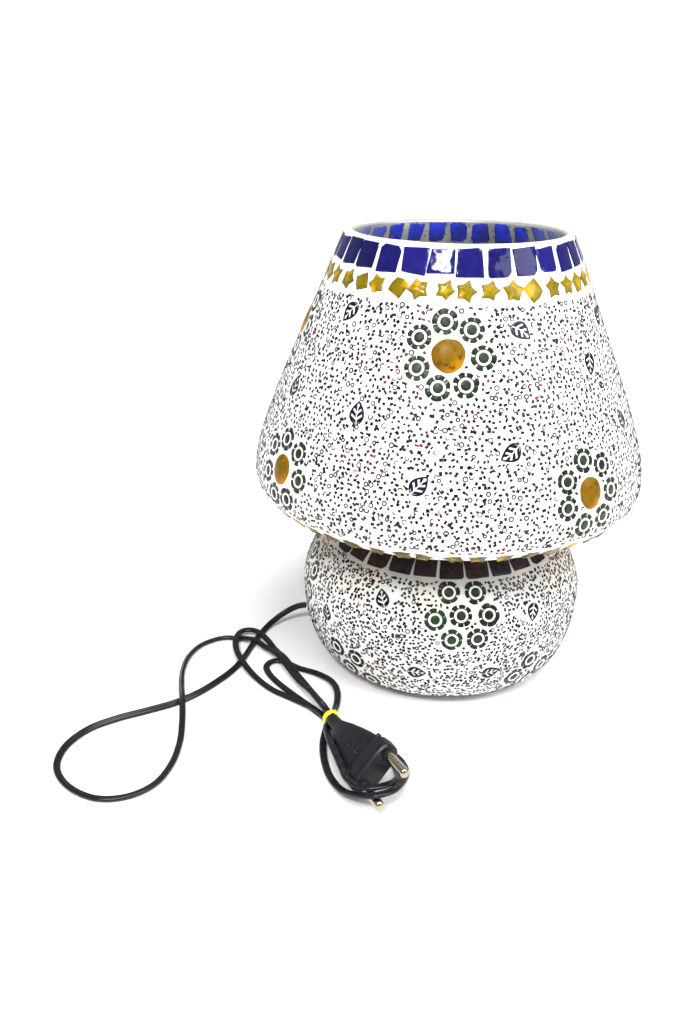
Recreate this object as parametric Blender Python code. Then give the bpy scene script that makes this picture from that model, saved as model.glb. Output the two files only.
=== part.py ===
"""Mosaic glass table lamp: one blown glass body, shade and pot in one, open at the top and coated in
cement and glass mosaic. A screw holder stands in the pot and carries a bulb, which comes out upwards
through the mouth. A flat twin cord leaves the pot low at its side, makes one wide turn on the table
and ends in a tied hank round its own plug.

Metres, +Z up. The origin is on the table under the middle of the lamp, and -Y is its front."""

import math

import bmesh
import bpy
import numpy as np
from mathutils import Matrix, Vector

# Driving dimensions of the lamp
HEIGHT = 0.250
SHADE_RADIUS, SHADE_HEIGHT = 0.110, 0.120
POT_RADIUS, POT_HEIGHT = 0.0825, 0.050
FOOT_RADIUS, FOOT_HEIGHT = 0.0565, 0.0018
RIM_RADIUS, RIM_HEIGHT = 0.0600, 0.2485
NECK_RADIUS, NECK_HEIGHT = 0.0570, 0.0930
NECK_ROOT = (0.046, 0.0945)  # where the pot's top and the shade's underside would meet, inside the neck
SHOULDER = 0.17  # how softly the shade's widest part turns into its slope

# Layers of the wall, from outside in
COAT = 0.0030
GAP = 0.0003
GLASS = 0.0027
TILE_SINK, TILE_RISE, TILE_BACK = 0.0020, 0.0005, 0.0010
EDGE_GAP = 0.0008  # more than a flat of the faceted skins cuts off their circle

SEGMENTS = 32
STATION = 0.018  # longest stretch of outline between two rings of the lathed layers

# Bottom and clamp
KICK_HEIGHT, KICK_RADIUS = 0.012, 0.026
GLASS_FOOT = 0.040
PAD_RADIUS, PAD_HEIGHT = 0.050, 0.0015
NIPPLE_RADIUS, NIPPLE_BORE = 0.0050, 0.0035
CLAMP_CLEARANCE = 0.0005

# Holder and bulb, heights above the table
SEAT = KICK_HEIGHT + GLASS + GAP
HOLDER_RADIUS = 0.0215
HOLDER_TOP = 0.066
INSERT_TOP = 0.038
BULB_TIP, BULB_SHOULDER, BULB_BOARD, BULB_TOP = 0.0428, 0.064, 0.095, 0.148
BULB_RADIUS = 0.030

# Cord
CORD_WIDTH = 0.0038
CORD_HOLE_TURN = math.radians(173)  # from +X towards +Y
CORD_HOLE_HEIGHT = 0.013
CORD_HOLE_RADIUS = 0.0038
HANK_LOW, HANK_HIGH = 0.0019, 0.0089
PLUG_TAIL = Vector((-0.0526, -0.0988, 0.0075))
PLUG_FRONT = Vector((-0.0245, -0.1456, 0.0133))
PLUG_TILT = math.radians(46)
PLUG_WIDTH, PLUG_THICKNESS = 0.029, 0.013
PIN_SPACING, PIN_LENGTH, PIN_RADIUS = 0.019, 0.0180, 0.0025


# ---------------------------------------------------------------- scene helpers
def clear_scene():
    for obj in list(bpy.data.objects):
        bpy.data.objects.remove(obj, do_unlink=True)


def material(name, colour, roughness=0.5, metallic=0.0):
    made = bpy.data.materials.new(name)
    made.use_nodes = True
    shader = made.node_tree.nodes["Principled BSDF"]
    shader.inputs["Base Color"].default_value = (*colour, 1.0)
    shader.inputs["Roughness"].default_value = roughness
    shader.inputs["Metallic"].default_value = metallic
    return made


def place(name, mesh, colour, roughness=0.5, metallic=0.0, smooth=True):
    """One named object at the world's origin, with its own material."""
    mesh.materials.append(material(name, colour, roughness, metallic))
    obj = bpy.data.objects.new(name, mesh)
    bpy.context.scene.collection.objects.link(obj)
    if smooth:
        mesh.shade_smooth()
        mesh.set_sharp_from_angle(angle=math.radians(35))
    return obj


def mesh_from(name, bm):
    bmesh.ops.recalc_face_normals(bm, faces=bm.faces)
    mesh = bpy.data.meshes.new(name)
    bm.to_mesh(mesh)
    bm.free()
    return mesh


def move_origin(obj, point):
    """Puts an object's origin at a point of the world without moving its shape."""
    obj.data.transform(Matrix.Translation(-Vector(point)))
    obj.location = point


def cut(obj, cutter_mesh, name):
    """Takes a hidden cutter's shape out of an object."""
    cutter = bpy.data.objects.new(name, cutter_mesh)
    bpy.context.scene.collection.objects.link(cutter)
    cutter.hide_render = True
    cutter.display_type = "WIRE"
    modifier = obj.modifiers.new(name, "BOOLEAN")
    modifier.operation = "DIFFERENCE"
    modifier.solver = "EXACT"
    modifier.object = cutter


# ---------------------------------------------------------------- shapes
def lathe(name, outline, segments=SEGMENTS):
    """Turns an outline of (radius, height) points about Z. An outline that starts and ends on the axis
    makes a solid or a cup, and any other is closed into a ring."""
    bm = bmesh.new()
    rings = []
    for radius, height in outline:
        if radius == 0:
            rings.append([bm.verts.new((0, 0, height))])
            continue
        turns = [2 * math.pi * i / segments for i in range(segments)]
        rings.append([bm.verts.new((radius * math.cos(t), radius * math.sin(t), height)) for t in turns])
    closed = outline[0][0] > 0
    pairs = list(zip(rings, rings[1:]))
    if closed:
        pairs.append((rings[-1], rings[0]))
    for low, high in pairs:
        for i in range(segments):
            j = (i + 1) % segments
            corners = [low[i % len(low)], low[j % len(low)], high[j % len(high)], high[i % len(high)]]
            bm.faces.new(list(dict.fromkeys(corners)))
    return mesh_from(name, bm)


def loft(name, sections):
    """A closed solid through rings of equally many points, with flat ends."""
    bm = bmesh.new()
    rings = [[bm.verts.new(point) for point in ring] for ring in sections]
    for low, high in zip(rings, rings[1:]):
        for i in range(len(low)):
            j = (i + 1) % len(low)
            bm.faces.new((low[i], low[j], high[j], high[i]))
    bm.faces.new(rings[0])
    bm.faces.new(rings[-1])
    return mesh_from(name, bm)


def frame_along(direction):
    """A rotation that takes +Z to the direction."""
    return Vector(direction).to_track_quat("Z", "Y").to_matrix().to_4x4()


def at(point, direction):
    return Matrix.Translation(Vector(point)) @ frame_along(direction)


def box_mesh(name, low, high):
    x, y, z = zip(low, high)
    ring = [(x[0], y[0]), (x[1], y[0]), (x[1], y[1]), (x[0], y[1])]
    return loft(name, [[(*p, height) for p in ring] for height in z])


def catmull_rom(points, step):
    """A smooth curve through the points, read about every step."""
    points = [Vector(p) for p in points]
    ends = [2 * points[0] - points[1], *points, 2 * points[-1] - points[-2]]
    curve = []
    for before, a, b, after in zip(ends, ends[1:], ends[2:], ends[3:]):
        count = max(1, round((b - a).length / step))
        for t in (i / count for i in range(count)):
            curve.append(
                0.5
                * (
                    2 * a
                    + (b - before) * t
                    + (2 * before - 5 * a + 4 * b - after) * t**2
                    + (3 * a - before - 3 * b + after) * t**3
                )
            )
    return curve + [points[-1]]


def tube(name, points, diameter, colour, roughness=0.5, step=None):
    """A round cord on a polyline read from a smooth curve through the points."""
    curve = bpy.data.curves.new(name, "CURVE")
    curve.dimensions = "3D"
    curve.bevel_depth = diameter / 2
    curve.bevel_resolution = 2
    curve.use_fill_caps = True
    line = catmull_rom(points, step or 2.4 * diameter)
    spline = curve.splines.new("POLY")
    spline.points.add(len(line) - 1)
    for target, point in zip(spline.points, line):
        target.co = (*point, 1)
    curve.materials.append(material(name, colour, roughness))
    obj = bpy.data.objects.new(name, curve)
    bpy.context.scene.collection.objects.link(obj)
    return obj


# ---------------------------------------------------------------- the lamp's outer outline
def superellipse(flat_end, steep_end, power, count):
    """A quarter turn from a point where the outline runs level to one where it runs upright."""
    points = []
    for t in np.linspace(0, math.pi / 2, count):
        across = math.sin(t) ** (2 / power)
        along = math.cos(t) ** (2 / power)
        radius = flat_end[0] + (steep_end[0] - flat_end[0]) * across
        height = steep_end[1] + (flat_end[1] - steep_end[1]) * along
        points.append((radius, height))
    return points


def bezier(a, b, c, d, count):
    a, b, c, d = (np.array(p) for p in (a, b, c, d))
    t = np.linspace(0, 1, count)[:, None]
    return [tuple(p) for p in a * (1 - t) ** 3 + 3 * b * t * (1 - t) ** 2 + 3 * c * t**2 * (1 - t) + d * t**3]


def body_outline():
    """The outside of the mosaic from the foot's edge to the rim, densely sampled."""
    dense = 80
    widest_pot, widest_shade = (POT_RADIUS, POT_HEIGHT), (SHADE_RADIUS, SHADE_HEIGHT)
    pot_low = superellipse((FOOT_RADIUS, FOOT_HEIGHT), widest_pot, 2.4, dense)
    pot_high = superellipse(NECK_ROOT, widest_pot, 1.57, dense)[::-1]
    under = superellipse(NECK_ROOT, widest_shade, 2.08, dense)
    pot_high = [p for p in pot_high if p[0] > NECK_RADIUS + 0.0035]
    under = [p for p in under if p[0] > NECK_RADIUS + 0.0085]
    into_neck, out_of_neck = (NECK_RADIUS - 0.002, NECK_HEIGHT), (NECK_RADIUS, NECK_HEIGHT + 0.0022)
    neck = bezier(pot_high[-1], into_neck, out_of_neck, under[0], dense)
    slope = []
    full = math.hypot(1, SHOULDER) - SHOULDER
    for u in np.linspace(0, 1, dense):
        share = 1 - (math.hypot(u, SHOULDER) - SHOULDER) / full
        radius = RIM_RADIUS + (SHADE_RADIUS - RIM_RADIUS) * share
        slope.append((radius, SHADE_HEIGHT + (RIM_HEIGHT - SHADE_HEIGHT) * u))
    return np.array(pot_low + pot_high[1:] + neck[1:] + under[1:] + slope[1:])


OUTLINE = body_outline()
ALONG = np.concatenate([[0], np.cumsum(np.linalg.norm(np.diff(OUTLINE, axis=0), axis=1))])
LENGTH = float(ALONG[-1])


def on_body(along, outwards=0.0):
    """(radius, height) at a length along the outline, and so far off it."""
    reach = 0.0015
    point = np.array([np.interp(along, ALONG, OUTLINE[:, k]) for k in (0, 1)])
    low, high = max(along - reach, 0), min(along + reach, LENGTH)
    ahead, behind = (np.array([np.interp(a, ALONG, OUTLINE[:, k]) for k in (0, 1)]) for a in (high, low))
    run = ahead - behind
    run /= np.linalg.norm(run)
    radius, height = point + outwards * np.array([run[1], -run[0]])
    return float(radius), float(height)


def along_at_height(height, start=SHADE_HEIGHT):
    """The length along the outline at a height, on the part above the start height."""
    rising = OUTLINE[:, 1] >= start
    return float(np.interp(height, OUTLINE[rising, 1], ALONG[rising]))


NECK_START = float(np.interp(0.080, OUTLINE[:160, 1], ALONG[:160]))
LOW_STAR_START = along_at_height(0.1088, 0.0975) - 0.0055
# Each band: lower and upper edge along the outline, and how many pieces go round.
NECK_TILES = (NECK_START - 0.0006, NECK_START + 0.0130, 30)
LOW_STARS = (LOW_STAR_START, LOW_STAR_START + 0.0110, 50)
HIGH_STARS = (LENGTH - 0.0255, LENGTH - 0.0155, 38)
RIM_TILES = (LENGTH - 0.0137, LENGTH - 0.0012, 29)

BANDS = (NECK_TILES, LOW_STARS, HIGH_STARS, RIM_TILES)


def wall_stations():
    """The lengths along the outline where every layer of the wall has a ring, band edges among them."""
    stops = [0.0, LENGTH]
    for low, high, _ in BANDS:
        stops += [low, high]
    stops.append(sum(NECK_TILES[:2]) / 2)
    stops.sort()
    rings = []
    for low, high in zip(stops, stops[1:]):
        count = math.ceil((high - low) / STATION)
        rings += [low + (high - low) * i / count for i in range(count)]
    return rings + [LENGTH]


STATIONS = wall_stations()


# ---------------------------------------------------------------- glass, cement and mosaic
def glass_outline():
    """The blown glass: a kicked-up bottom with a central hole, the wall inside the cement, an open lip."""
    outer, inner = -(COAT + GAP), -(COAT + GAP + GLASS)
    hole = NIPPLE_RADIUS + CLAMP_CLEARANCE
    outside = [on_body(s, outer) for s in STATIONS]
    inside = [on_body(s, inner) for s in STATIONS[1:]]
    foot = outside[0][1]
    bottom = [(hole, KICK_HEIGHT), (KICK_RADIUS, KICK_HEIGHT), (GLASS_FOOT, foot)]
    rim_radius = (outside[-1][0] + inside[-1][0]) / 2
    lip = [(rim_radius + 0.0007, HEIGHT), (rim_radius - 0.0007, HEIGHT)]
    floor = [
        (GLASS_FOOT + 0.001, foot + GLASS),
        (KICK_RADIUS + 0.001, KICK_HEIGHT + GLASS),
        (hole, KICK_HEIGHT + GLASS),
    ]
    return bottom + outside + lip + inside[::-1] + floor


def coat_outline(start, end, grooves=()):
    """A cement skin with a groove in its outside for each band of mosaic."""
    stretch = [s for s in STATIONS if start <= s <= end]
    outside = []
    for s in stretch:
        for low, high, _ in grooves:
            if s == low:
                outside.append(on_body(s))
            if low <= s <= high:
                outside.append(on_body(s, -TILE_SINK))
            if s == high:
                outside.append(on_body(s))
        if not any(low <= s <= high for low, high, _ in grooves):
            outside.append(on_body(s))
    inside = [on_body(s, -COAT) for s in reversed(stretch)]
    return outside + inside


def tile_band(name, band, colour, tile_share, sunk=TILE_SINK):
    """A ring of raised glass pieces on a thin common back, which keeps them one solid. A share of 0 makes
    each piece a ridge, as the stars are, and otherwise it has a flat top that wide."""
    low, high, count = band
    low, high = low + EDGE_GAP, high - EDGE_GAP
    across = [low, high]
    if sunk == COAT:
        across.insert(1, (low + high) / 2)
    bm = bmesh.new()
    rings = []
    pitch = 2 * math.pi / count
    low_top = TILE_RISE - TILE_BACK
    half, slope = tile_share / 2, 0.12 * (1 - tile_share)
    steps = [(-half, TILE_RISE), (half, TILE_RISE), (half + slope, low_top), (1 - half - slope, low_top)]
    if tile_share == 0:
        steps = [(0, TILE_RISE), (0.5, low_top)]
    for tile in range(count):
        for share, top in steps:
            turn = (tile + share) * pitch
            section = [on_body(s, GAP - sunk) for s in across] + [on_body(s, top) for s in across[::-1]]
            rings.append([bm.verts.new((r * math.cos(turn), r * math.sin(turn), z)) for r, z in section])
    for ring, following in zip(rings, rings[1:] + rings[:1]):
        for i in range(len(ring)):
            j = (i + 1) % len(ring)
            bm.faces.new((ring[i], ring[j], following[j], following[i]))
    return place(name, mesh_from(name, bm), colour, 0.2, smooth=False)


def glass_and_coats():
    glass = place("glass_body", lathe("glass_body", glass_outline()), (0.62, 0.66, 0.60), 0.08)
    white = (0.86, 0.86, 0.84)
    pot_outline = [(GLASS_FOOT + 0.004, FOOT_HEIGHT)] + coat_outline(0.0, NECK_TILES[0])
    pot_outline.append((GLASS_FOOT + 0.004, FOOT_HEIGHT + COAT - GAP))
    pot = place("pot_grout", lathe("pot_grout", pot_outline), white, 0.7)
    shade_outline = coat_outline(NECK_TILES[1], LENGTH, BANDS[1:])
    place("shade_grout", lathe("shade_grout", shade_outline), white, 0.7)
    for wall in (glass, pot):
        reach = 0.02
        hole = [(0, -reach), (CORD_HOLE_RADIUS, -reach), (CORD_HOLE_RADIUS, reach), (0, reach)]
        drill = lathe("cord_hole", hole, 16)
        drill.transform(at(wall_point(0), outward()))
        cut(wall, drill, wall.name + "_hole")


def outward():
    """The level direction in which the cord leaves the pot."""
    return Vector((math.cos(CORD_HOLE_TURN), math.sin(CORD_HOLE_TURN), 0))


def wall_point(beyond):
    """A point on the cord hole's axis, so far beyond the pot's outside."""
    radius = float(np.interp(CORD_HOLE_HEIGHT, OUTLINE[:80, 1], OUTLINE[:80, 0]))
    return outward() * (radius + beyond) + Vector((0, 0, CORD_HOLE_HEIGHT))


def mosaic_bands():
    tile_band("neck_tile_band", NECK_TILES, (0.035, 0.014, 0.016), 0.86, COAT)
    mustard = (0.50, 0.36, 0.02)
    tile_band("lower_star_band", LOW_STARS, mustard, 0)
    tile_band("upper_star_band", HIGH_STARS, mustard, 0)
    tile_band("rim_tile_band", RIM_TILES, (0.018, 0.014, 0.20), 0.88)


def gems():
    """Amber cabochons on the shade, each in the middle of a cluster of glass flowers."""
    radius, rise, clear = 0.0082, 0.0036, 0.0004
    dome = [(0, clear + rise)]
    for t in np.linspace(0.5, math.pi / 2, 3):
        dome.append((radius * math.sin(t), clear + 0.0012 + (rise - 0.0012) * math.cos(t)))
    dome += [(radius, clear), (0, clear)]
    rows = {"gem_high": (0.2022, (-82, -1, 104, 190)), "gem_low": (0.137, (-52, 42, 133, 221))}
    for label, (height, turns) in rows.items():
        along = along_at_height(height)
        point_radius, point_height = on_body(along)
        out_radius, out_height = on_body(along, 1.0)
        lean = Vector((out_radius - point_radius, 0, out_height - point_height)).normalized()
        for number, turn in enumerate(turns, 1):
            # Turns count from the front, -Y, towards +X.
            spin = Matrix.Rotation(math.radians(turn - 90), 4, "Z")
            mesh = lathe(f"{label}_{number}", dome, 12)
            mesh.transform(spin @ at((point_radius, 0, point_height), lean))
            place(f"{label}_{number}", mesh, (0.52, 0.22, 0.01), 0.12)


# ---------------------------------------------------------------- bottom, clamp and holder
def base_and_clamp():
    chamfer = 0.0004
    pad = [(0, 0), (PAD_RADIUS - chamfer, 0), (PAD_RADIUS, chamfer)]
    pad += [(PAD_RADIUS, PAD_HEIGHT), (0, PAD_HEIGHT)]
    place("felt_base_pad", lathe("felt_base_pad", pad), (0.02, 0.02, 0.02), 0.95)
    under = KICK_HEIGHT - GAP
    bore = NIPPLE_RADIUS + GAP
    washer = [(bore, under - 0.0012), (0.018, under - 0.0012), (0.018, under), (bore, under)]
    place("clamp_washer", lathe("clamp_washer", washer, 24), (0.55, 0.55, 0.56), 0.35, 1.0)
    top = under - 0.0012 - GAP
    nut_low, nut_radius = top - 0.0040, 0.0081
    nut = lathe("locknut", [(bore, nut_low), (nut_radius, nut_low), (nut_radius, top), (bore, top)], 12)
    for vertex in nut.vertices:
        corner_turns = math.atan2(vertex.co.y, vertex.co.x) / math.radians(60)
        if vertex.co.xy.length > bore * 1.2 and abs(corner_turns - round(corner_turns)) > 0.1:
            vertex.co.xy *= math.cos(math.radians(30))
    place("locknut", nut, (0.60, 0.58, 0.50), 0.3, 1.0, smooth=False)
    low, high = 0.0050, SEAT + 0.011
    nipple = [(NIPPLE_BORE, low), (NIPPLE_RADIUS, low), (NIPPLE_RADIUS, high), (NIPPLE_BORE, high)]
    place("threaded_nipple", lathe("threaded_nipple", nipple, 16), (0.60, 0.58, 0.50), 0.3, 1.0)
    seat = [(bore, SEAT), (0.014, SEAT), (0.014, SEAT + 0.001), (bore, SEAT + 0.001)]
    place("seat_washer", lathe("seat_washer", seat, 24), (0.03, 0.03, 0.03), 0.8)


def holder():
    """An E27 screw holder in three parts, with its contacts and terminal screws."""
    black = (0.015, 0.015, 0.016)
    brass = (0.62, 0.45, 0.16)
    low = SEAT + 0.001 + GAP
    bore = NIPPLE_RADIUS + GAP
    thread = HOLDER_RADIUS - 0.0027
    cap = [(bore, low), (0.012, low), (HOLDER_RADIUS, low + 0.009), (HOLDER_RADIUS, 0.034), (thread, 0.034)]
    cap += [(thread, 0.0400), (thread - 0.0014, 0.0400), (thread - 0.0014, low + 0.009), (0.010, low + 0.003)]
    cap.append((bore, low + 0.003))
    cap_part = place("holder_cap", lathe("holder_cap", cap, 24), black, 0.35)
    entry = lathe("lead_hole", [(0, 0), (0.0024, 0), (0.0024, 0.012), (0, 0.012)], 12)
    entry.transform(at(outward() * (HOLDER_RADIUS - 0.007) + Vector((0, 0, 0.0285)), outward()))
    cut(cap_part, entry, "lead_hole")

    insert_radius = thread - 0.0014 - GAP
    insert = [(0, 0.0315), (insert_radius, 0.0315), (insert_radius, INSERT_TOP), (0, INSERT_TOP)]
    place("holder_insert", lathe("holder_insert", insert, 24), (0.82, 0.80, 0.74), 0.45)
    for number, side in enumerate((1, -1), 1):
        screw = [(0, 0.0270), (0.0022, 0.0270), (0.0022, 0.0285)]
        screw += [(0.0013, 0.0288), (0.0013, 0.0312), (0, 0.0312)]
        mesh = lathe(f"terminal_screw_{number}", screw, 12)
        mesh.transform(Matrix.Translation((0.004, side * 0.008, 0)))
        place(f"terminal_screw_{number}", mesh, brass, 0.3, 1.0)

    tongue_root, tongue_tip, thick, wide = 0.0105, -0.0025, 0.0006, 0.0030
    rise = INSERT_TOP + GAP
    outline = [(tongue_root, rise), (0.0065, rise), (tongue_tip, BULB_TIP - 0.0013)]
    top = [(x, z + thick) for x, z in outline][::-1]
    sections = [[(x, side, z) for x, z in outline + top] for side in (-wide, wide)]
    tongue = place("contact_tongue", loft("contact_tongue", sections), brass, 0.25, 1.0, smooth=False)
    move_origin(tongue, (0.0065, 0, rise))
    side_tab = box_mesh("side_contact", (-0.0130, -0.0025, rise), (-0.0122, 0.0025, 0.0456))
    place("side_contact", side_tab, brass, 0.25, 1.0, smooth=False)

    sleeve = [(0.0137, 0.0408), (0.0143, 0.0408), (0.0143, 0.0620), (0.0137, 0.0620)]
    place("screw_sleeve", lathe("screw_sleeve", sleeve, 24), brass, 0.25, 1.0)
    inner = 0.0149
    shell = [(thread + GAP, 0.034 + GAP), (HOLDER_RADIUS, 0.034 + GAP), (HOLDER_RADIUS, 0.060)]
    shell += [(HOLDER_RADIUS - 0.002, HOLDER_TOP), (inner, HOLDER_TOP)]
    shell += [(inner, 0.0410), (thread + GAP, 0.0410)]
    place("holder_shell", lathe("holder_shell", shell, 24), black, 0.35)


def bulb():
    """A 60 mm globe lamp with a screw cap, its origin on the axis that it lifts along."""
    steel = (0.66, 0.66, 0.64)
    radius, wall = 0.0132, 0.0006
    cap = [(radius - wall, 0.0462), (radius, 0.0462), (radius, BULB_SHOULDER - GAP)]
    cap.append((radius - wall, BULB_SHOULDER - GAP))
    parts = [place("bulb_cap", lathe("bulb_cap", cap, 24), steel, 0.3, 1.0)]
    tip = [(0, BULB_TIP), (0.0035, BULB_TIP), (0.0048, BULB_TIP + 0.001)]
    tip += [(0.0118, 0.0462 - GAP), (0, 0.0462 - GAP)]
    parts.append(place("bulb_tip", lathe("bulb_tip", tip, 16), (0.03, 0.03, 0.03), 0.3))
    housing = [(0, 0.0462), (radius - wall - GAP, 0.0462), (radius - wall - GAP, BULB_SHOULDER)]
    housing += [(0.0142, BULB_SHOULDER), (0.0144, 0.0670), (0.0175, 0.072)]
    housing += [(0.0250, 0.088), (0.0275, BULB_BOARD)]
    housing += [(0.0255, BULB_BOARD), (0.0240, BULB_BOARD - 0.003), (0, BULB_BOARD - 0.003)]
    parts.append(place("bulb_housing", lathe("bulb_housing", housing, 24), (0.85, 0.85, 0.83), 0.4))
    board = [(0, BULB_BOARD - 0.003 + GAP), (0.0232, BULB_BOARD - 0.003 + GAP), (0.0232, BULB_BOARD - 0.0010)]
    board.append((0, BULB_BOARD - 0.0010))
    parts.append(place("led_board", lathe("led_board", board, 24), (0.80, 0.80, 0.78), 0.4))
    centre = BULB_BOARD + 0.018
    turns = np.linspace(-0.62, math.pi / 2, 9)
    skin = 0.0012
    height = BULB_TOP - centre
    outside = [(BULB_RADIUS * math.cos(t), centre + height * math.sin(t)) for t in turns[:-1]]
    bore, depth = BULB_RADIUS - skin, height - skin
    inside = [(bore * math.cos(t), centre + depth * math.sin(t)) for t in turns[:-1]]
    outside[0] = (0.0272, BULB_BOARD + GAP)
    inside[0] = (0.0258, BULB_BOARD + GAP)
    dome = [(0, BULB_TOP)] + outside[::-1] + inside + [(0, BULB_TOP - skin)]
    parts.append(place("bulb_dome", lathe("bulb_dome", dome, 24), (0.90, 0.90, 0.88), 0.5))
    for part in parts:
        move_origin(part, (0, 0, BULB_TIP))


# ---------------------------------------------------------------- cord and plug
def cord_inlet():
    """The rubber grommet in the pot's wall, and the lead inside from it to the holder."""
    wall = COAT + GAP + GLASS
    bore, body = CORD_WIDTH / 2 + GAP, CORD_HOLE_RADIUS - GAP
    grommet = [(bore, -wall - 0.0025), (body, -wall - 0.0025), (body, 0.0022), (0.0052, 0.0022)]
    grommet += [(0.0052, 0.0034), (0.0029, 0.0072), (bore, 0.0072)]
    mesh = lathe("cord_grommet", grommet, 16)
    mesh.transform(at(wall_point(0), outward()))
    place("cord_grommet", mesh, (0.012, 0.012, 0.012), 0.6)
    start = wall_point(0.0060)
    end = outward() * (HOLDER_RADIUS - 0.0045) + Vector((0, 0, 0.0285))
    route = [start, wall_point(-0.010), wall_point(-0.022) + Vector((0, 0, 0.003))]
    route += [wall_point(-0.040) + Vector((0, 0, 0.0125)), end + outward() * 0.006, end]
    tube("inner_lead", route, CORD_WIDTH, (0.012, 0.012, 0.013), 0.45)


# Where the cord's middle runs, from the grommet round the wide turn to the hank.
LEAD_ROUTE = [
    (-0.0905, 0.0095, 0.0100),
    (-0.0985, 0.0070, 0.0068),
    (-0.1055, 0.0005, 0.0040),
    (-0.1095, -0.0100, 0.0022),
    (-0.1120, -0.0230, 0.0020),
    (-0.1140, -0.0380, 0.0020),
    (-0.1175, -0.0520, 0.0020),
    (-0.1240, -0.0655, 0.0020),
    (-0.1320, -0.0780, 0.0020),
    (-0.1420, -0.0885, 0.0020),
    (-0.1550, -0.0975, 0.0020),
    (-0.1690, -0.1065, 0.0020),
    (-0.1810, -0.1175, 0.0020),
    (-0.1880, -0.1330, 0.0020),
    (-0.1860, -0.1490, 0.0020),
    (-0.1750, -0.1620, 0.0020),
    (-0.1590, -0.1690, 0.0020),
    (-0.1440, -0.1660, 0.0020),
    (-0.1330, -0.1550, 0.0020),
    (-0.1290, -0.1390, 0.0022),
    (-0.1300, -0.1210, 0.0035),
    (-0.1340, -0.1030, 0.0055),
    (-0.1385, -0.0860, 0.0063),
    (-0.1430, -0.0700, 0.0040),
    (-0.1470, -0.0550, 0.0022),
    (-0.1475, -0.0400, 0.0020),
    (-0.1430, -0.0270, 0.0022),
    (-0.1330, -0.0185, 0.0030),
    (-0.1215, -0.0175, 0.0050),
    (-0.1110, -0.0215, 0.0064),
    (-0.1015, -0.0275, 0.0062),
    (-0.0945, -0.0365, 0.0056),
]

# The hank's big loop past its bundle, then the loop round the plug, each from the bundle back to it.
HANK_LOOP_ROUTE = [
    (-0.0860, -0.0360, 0.0070),
    (-0.0935, -0.0245, 0.0098),
    (-0.1040, -0.0140, 0.0112),
    (-0.1165, -0.0075, 0.0112),
    (-0.1275, -0.0115, 0.0104),
    (-0.1300, -0.0230, 0.0096),
    (-0.1250, -0.0380, 0.0080),
    (-0.1150, -0.0490, 0.0068),
    (-0.1020, -0.0560, 0.0060),
]
PLUG_LOOP_ROUTE = [
    (-0.0640, -0.0985, 0.0030),
    (-0.0642, -0.1085, 0.0024),
    (-0.0610, -0.1220, 0.0022),
    (-0.0560, -0.1370, 0.0026),
    (-0.0480, -0.1510, 0.0050),
    (-0.0370, -0.1610, 0.0095),
    (-0.0240, -0.1635, 0.0140),
    (-0.0120, -0.1570, 0.0125),
    (-0.0060, -0.1450, 0.0100),
    (-0.0070, -0.1310, 0.0070),
    (-0.0150, -0.1170, 0.0045),
    (-0.0270, -0.1050, 0.0040),
    (-0.0385, -0.0960, 0.0045),
    (-0.0475, -0.0935, 0.0055),
]
HANK_FAR, HANK_NEAR = Vector((-0.087, -0.051)), Vector((-0.0655, -0.0765))
HANK_END = Vector((-0.0532, -0.0982))
HANK_RADIUS, NECK_HALF_WIDTH = 0.014, 0.0042


def hank_outline():
    """Seen from above: a round-ended bundle that narrows to the tied neck."""
    way = (HANK_END - HANK_NEAR).normalized()
    side = Vector((-way.y, way.x))
    axis = (HANK_NEAR - HANK_FAR).normalized()
    start = math.atan2(axis.y, axis.x) + math.pi / 2
    turns = start + np.linspace(0, math.pi, 9)
    far = [HANK_FAR + HANK_RADIUS * Vector((math.cos(turn), math.sin(turn))) for turn in turns]
    near_right = HANK_NEAR - HANK_RADIUS * Vector((-axis.y, axis.x))
    near_left = HANK_NEAR + HANK_RADIUS * Vector((-axis.y, axis.x))
    waist = HANK_END - 0.011 * way
    corners = ((-1, waist), (-1, HANK_END), (1, HANK_END), (1, waist))
    neck = [point + hand * NECK_HALF_WIDTH * side for hand, point in corners]
    return far + [near_right] + neck + [near_left]


def cord():
    black = (0.012, 0.012, 0.013)
    exit_point = wall_point(0.0074)
    tube("cord_lead", [exit_point, exit_point + outward() * 0.004, *LEAD_ROUTE], CORD_WIDTH, black, 0.45)
    outline = hank_outline()
    hank = loft("cord_hank", [[(p.x, p.y, z) for p in outline] for z in (HANK_LOW, HANK_HIGH)])
    place("cord_hank", hank, black, 0.45, smooth=False)
    tube("cord_hank_loop", HANK_LOOP_ROUTE, CORD_WIDTH, black, 0.45)
    tube("cord_plug_loop", PLUG_LOOP_ROUTE, CORD_WIDTH, black, 0.45)


def tie():
    """The yellow band round the hank's neck."""
    way = (HANK_END - HANK_NEAR).normalized().to_3d()
    side = Vector((-way.y, way.x, 0))
    middle = (HANK_END - 0.0045 * way.to_2d()).to_3d() + Vector((0, 0, (HANK_LOW + HANK_HIGH) / 2))
    bm = bmesh.new()
    rings = []
    half_high = (HANK_HIGH - HANK_LOW) / 2
    for thick, step in ((GAP, -0.0015), (GAP, 0.0015), (0.0013, 0.0015), (0.0013, -0.0015)):
        wide, high = NECK_HALF_WIDTH + thick, half_high + thick
        ring = []
        for x, z in ((-wide, -high), (wide, -high), (wide, high), (-wide, high)):
            ring.append(bm.verts.new(middle + way * step + side * x + Vector((0, 0, z))))
        rings.append(ring)
    for ring, following in zip(rings, rings[1:] + rings[:1]):
        for i in range(4):
            j = (i + 1) % 4
            bm.faces.new((ring[i], ring[j], following[j], following[i]))
    place("cord_tie", mesh_from("cord_tie", bm), (0.80, 0.62, 0.02), 0.4, smooth=False)


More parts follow.
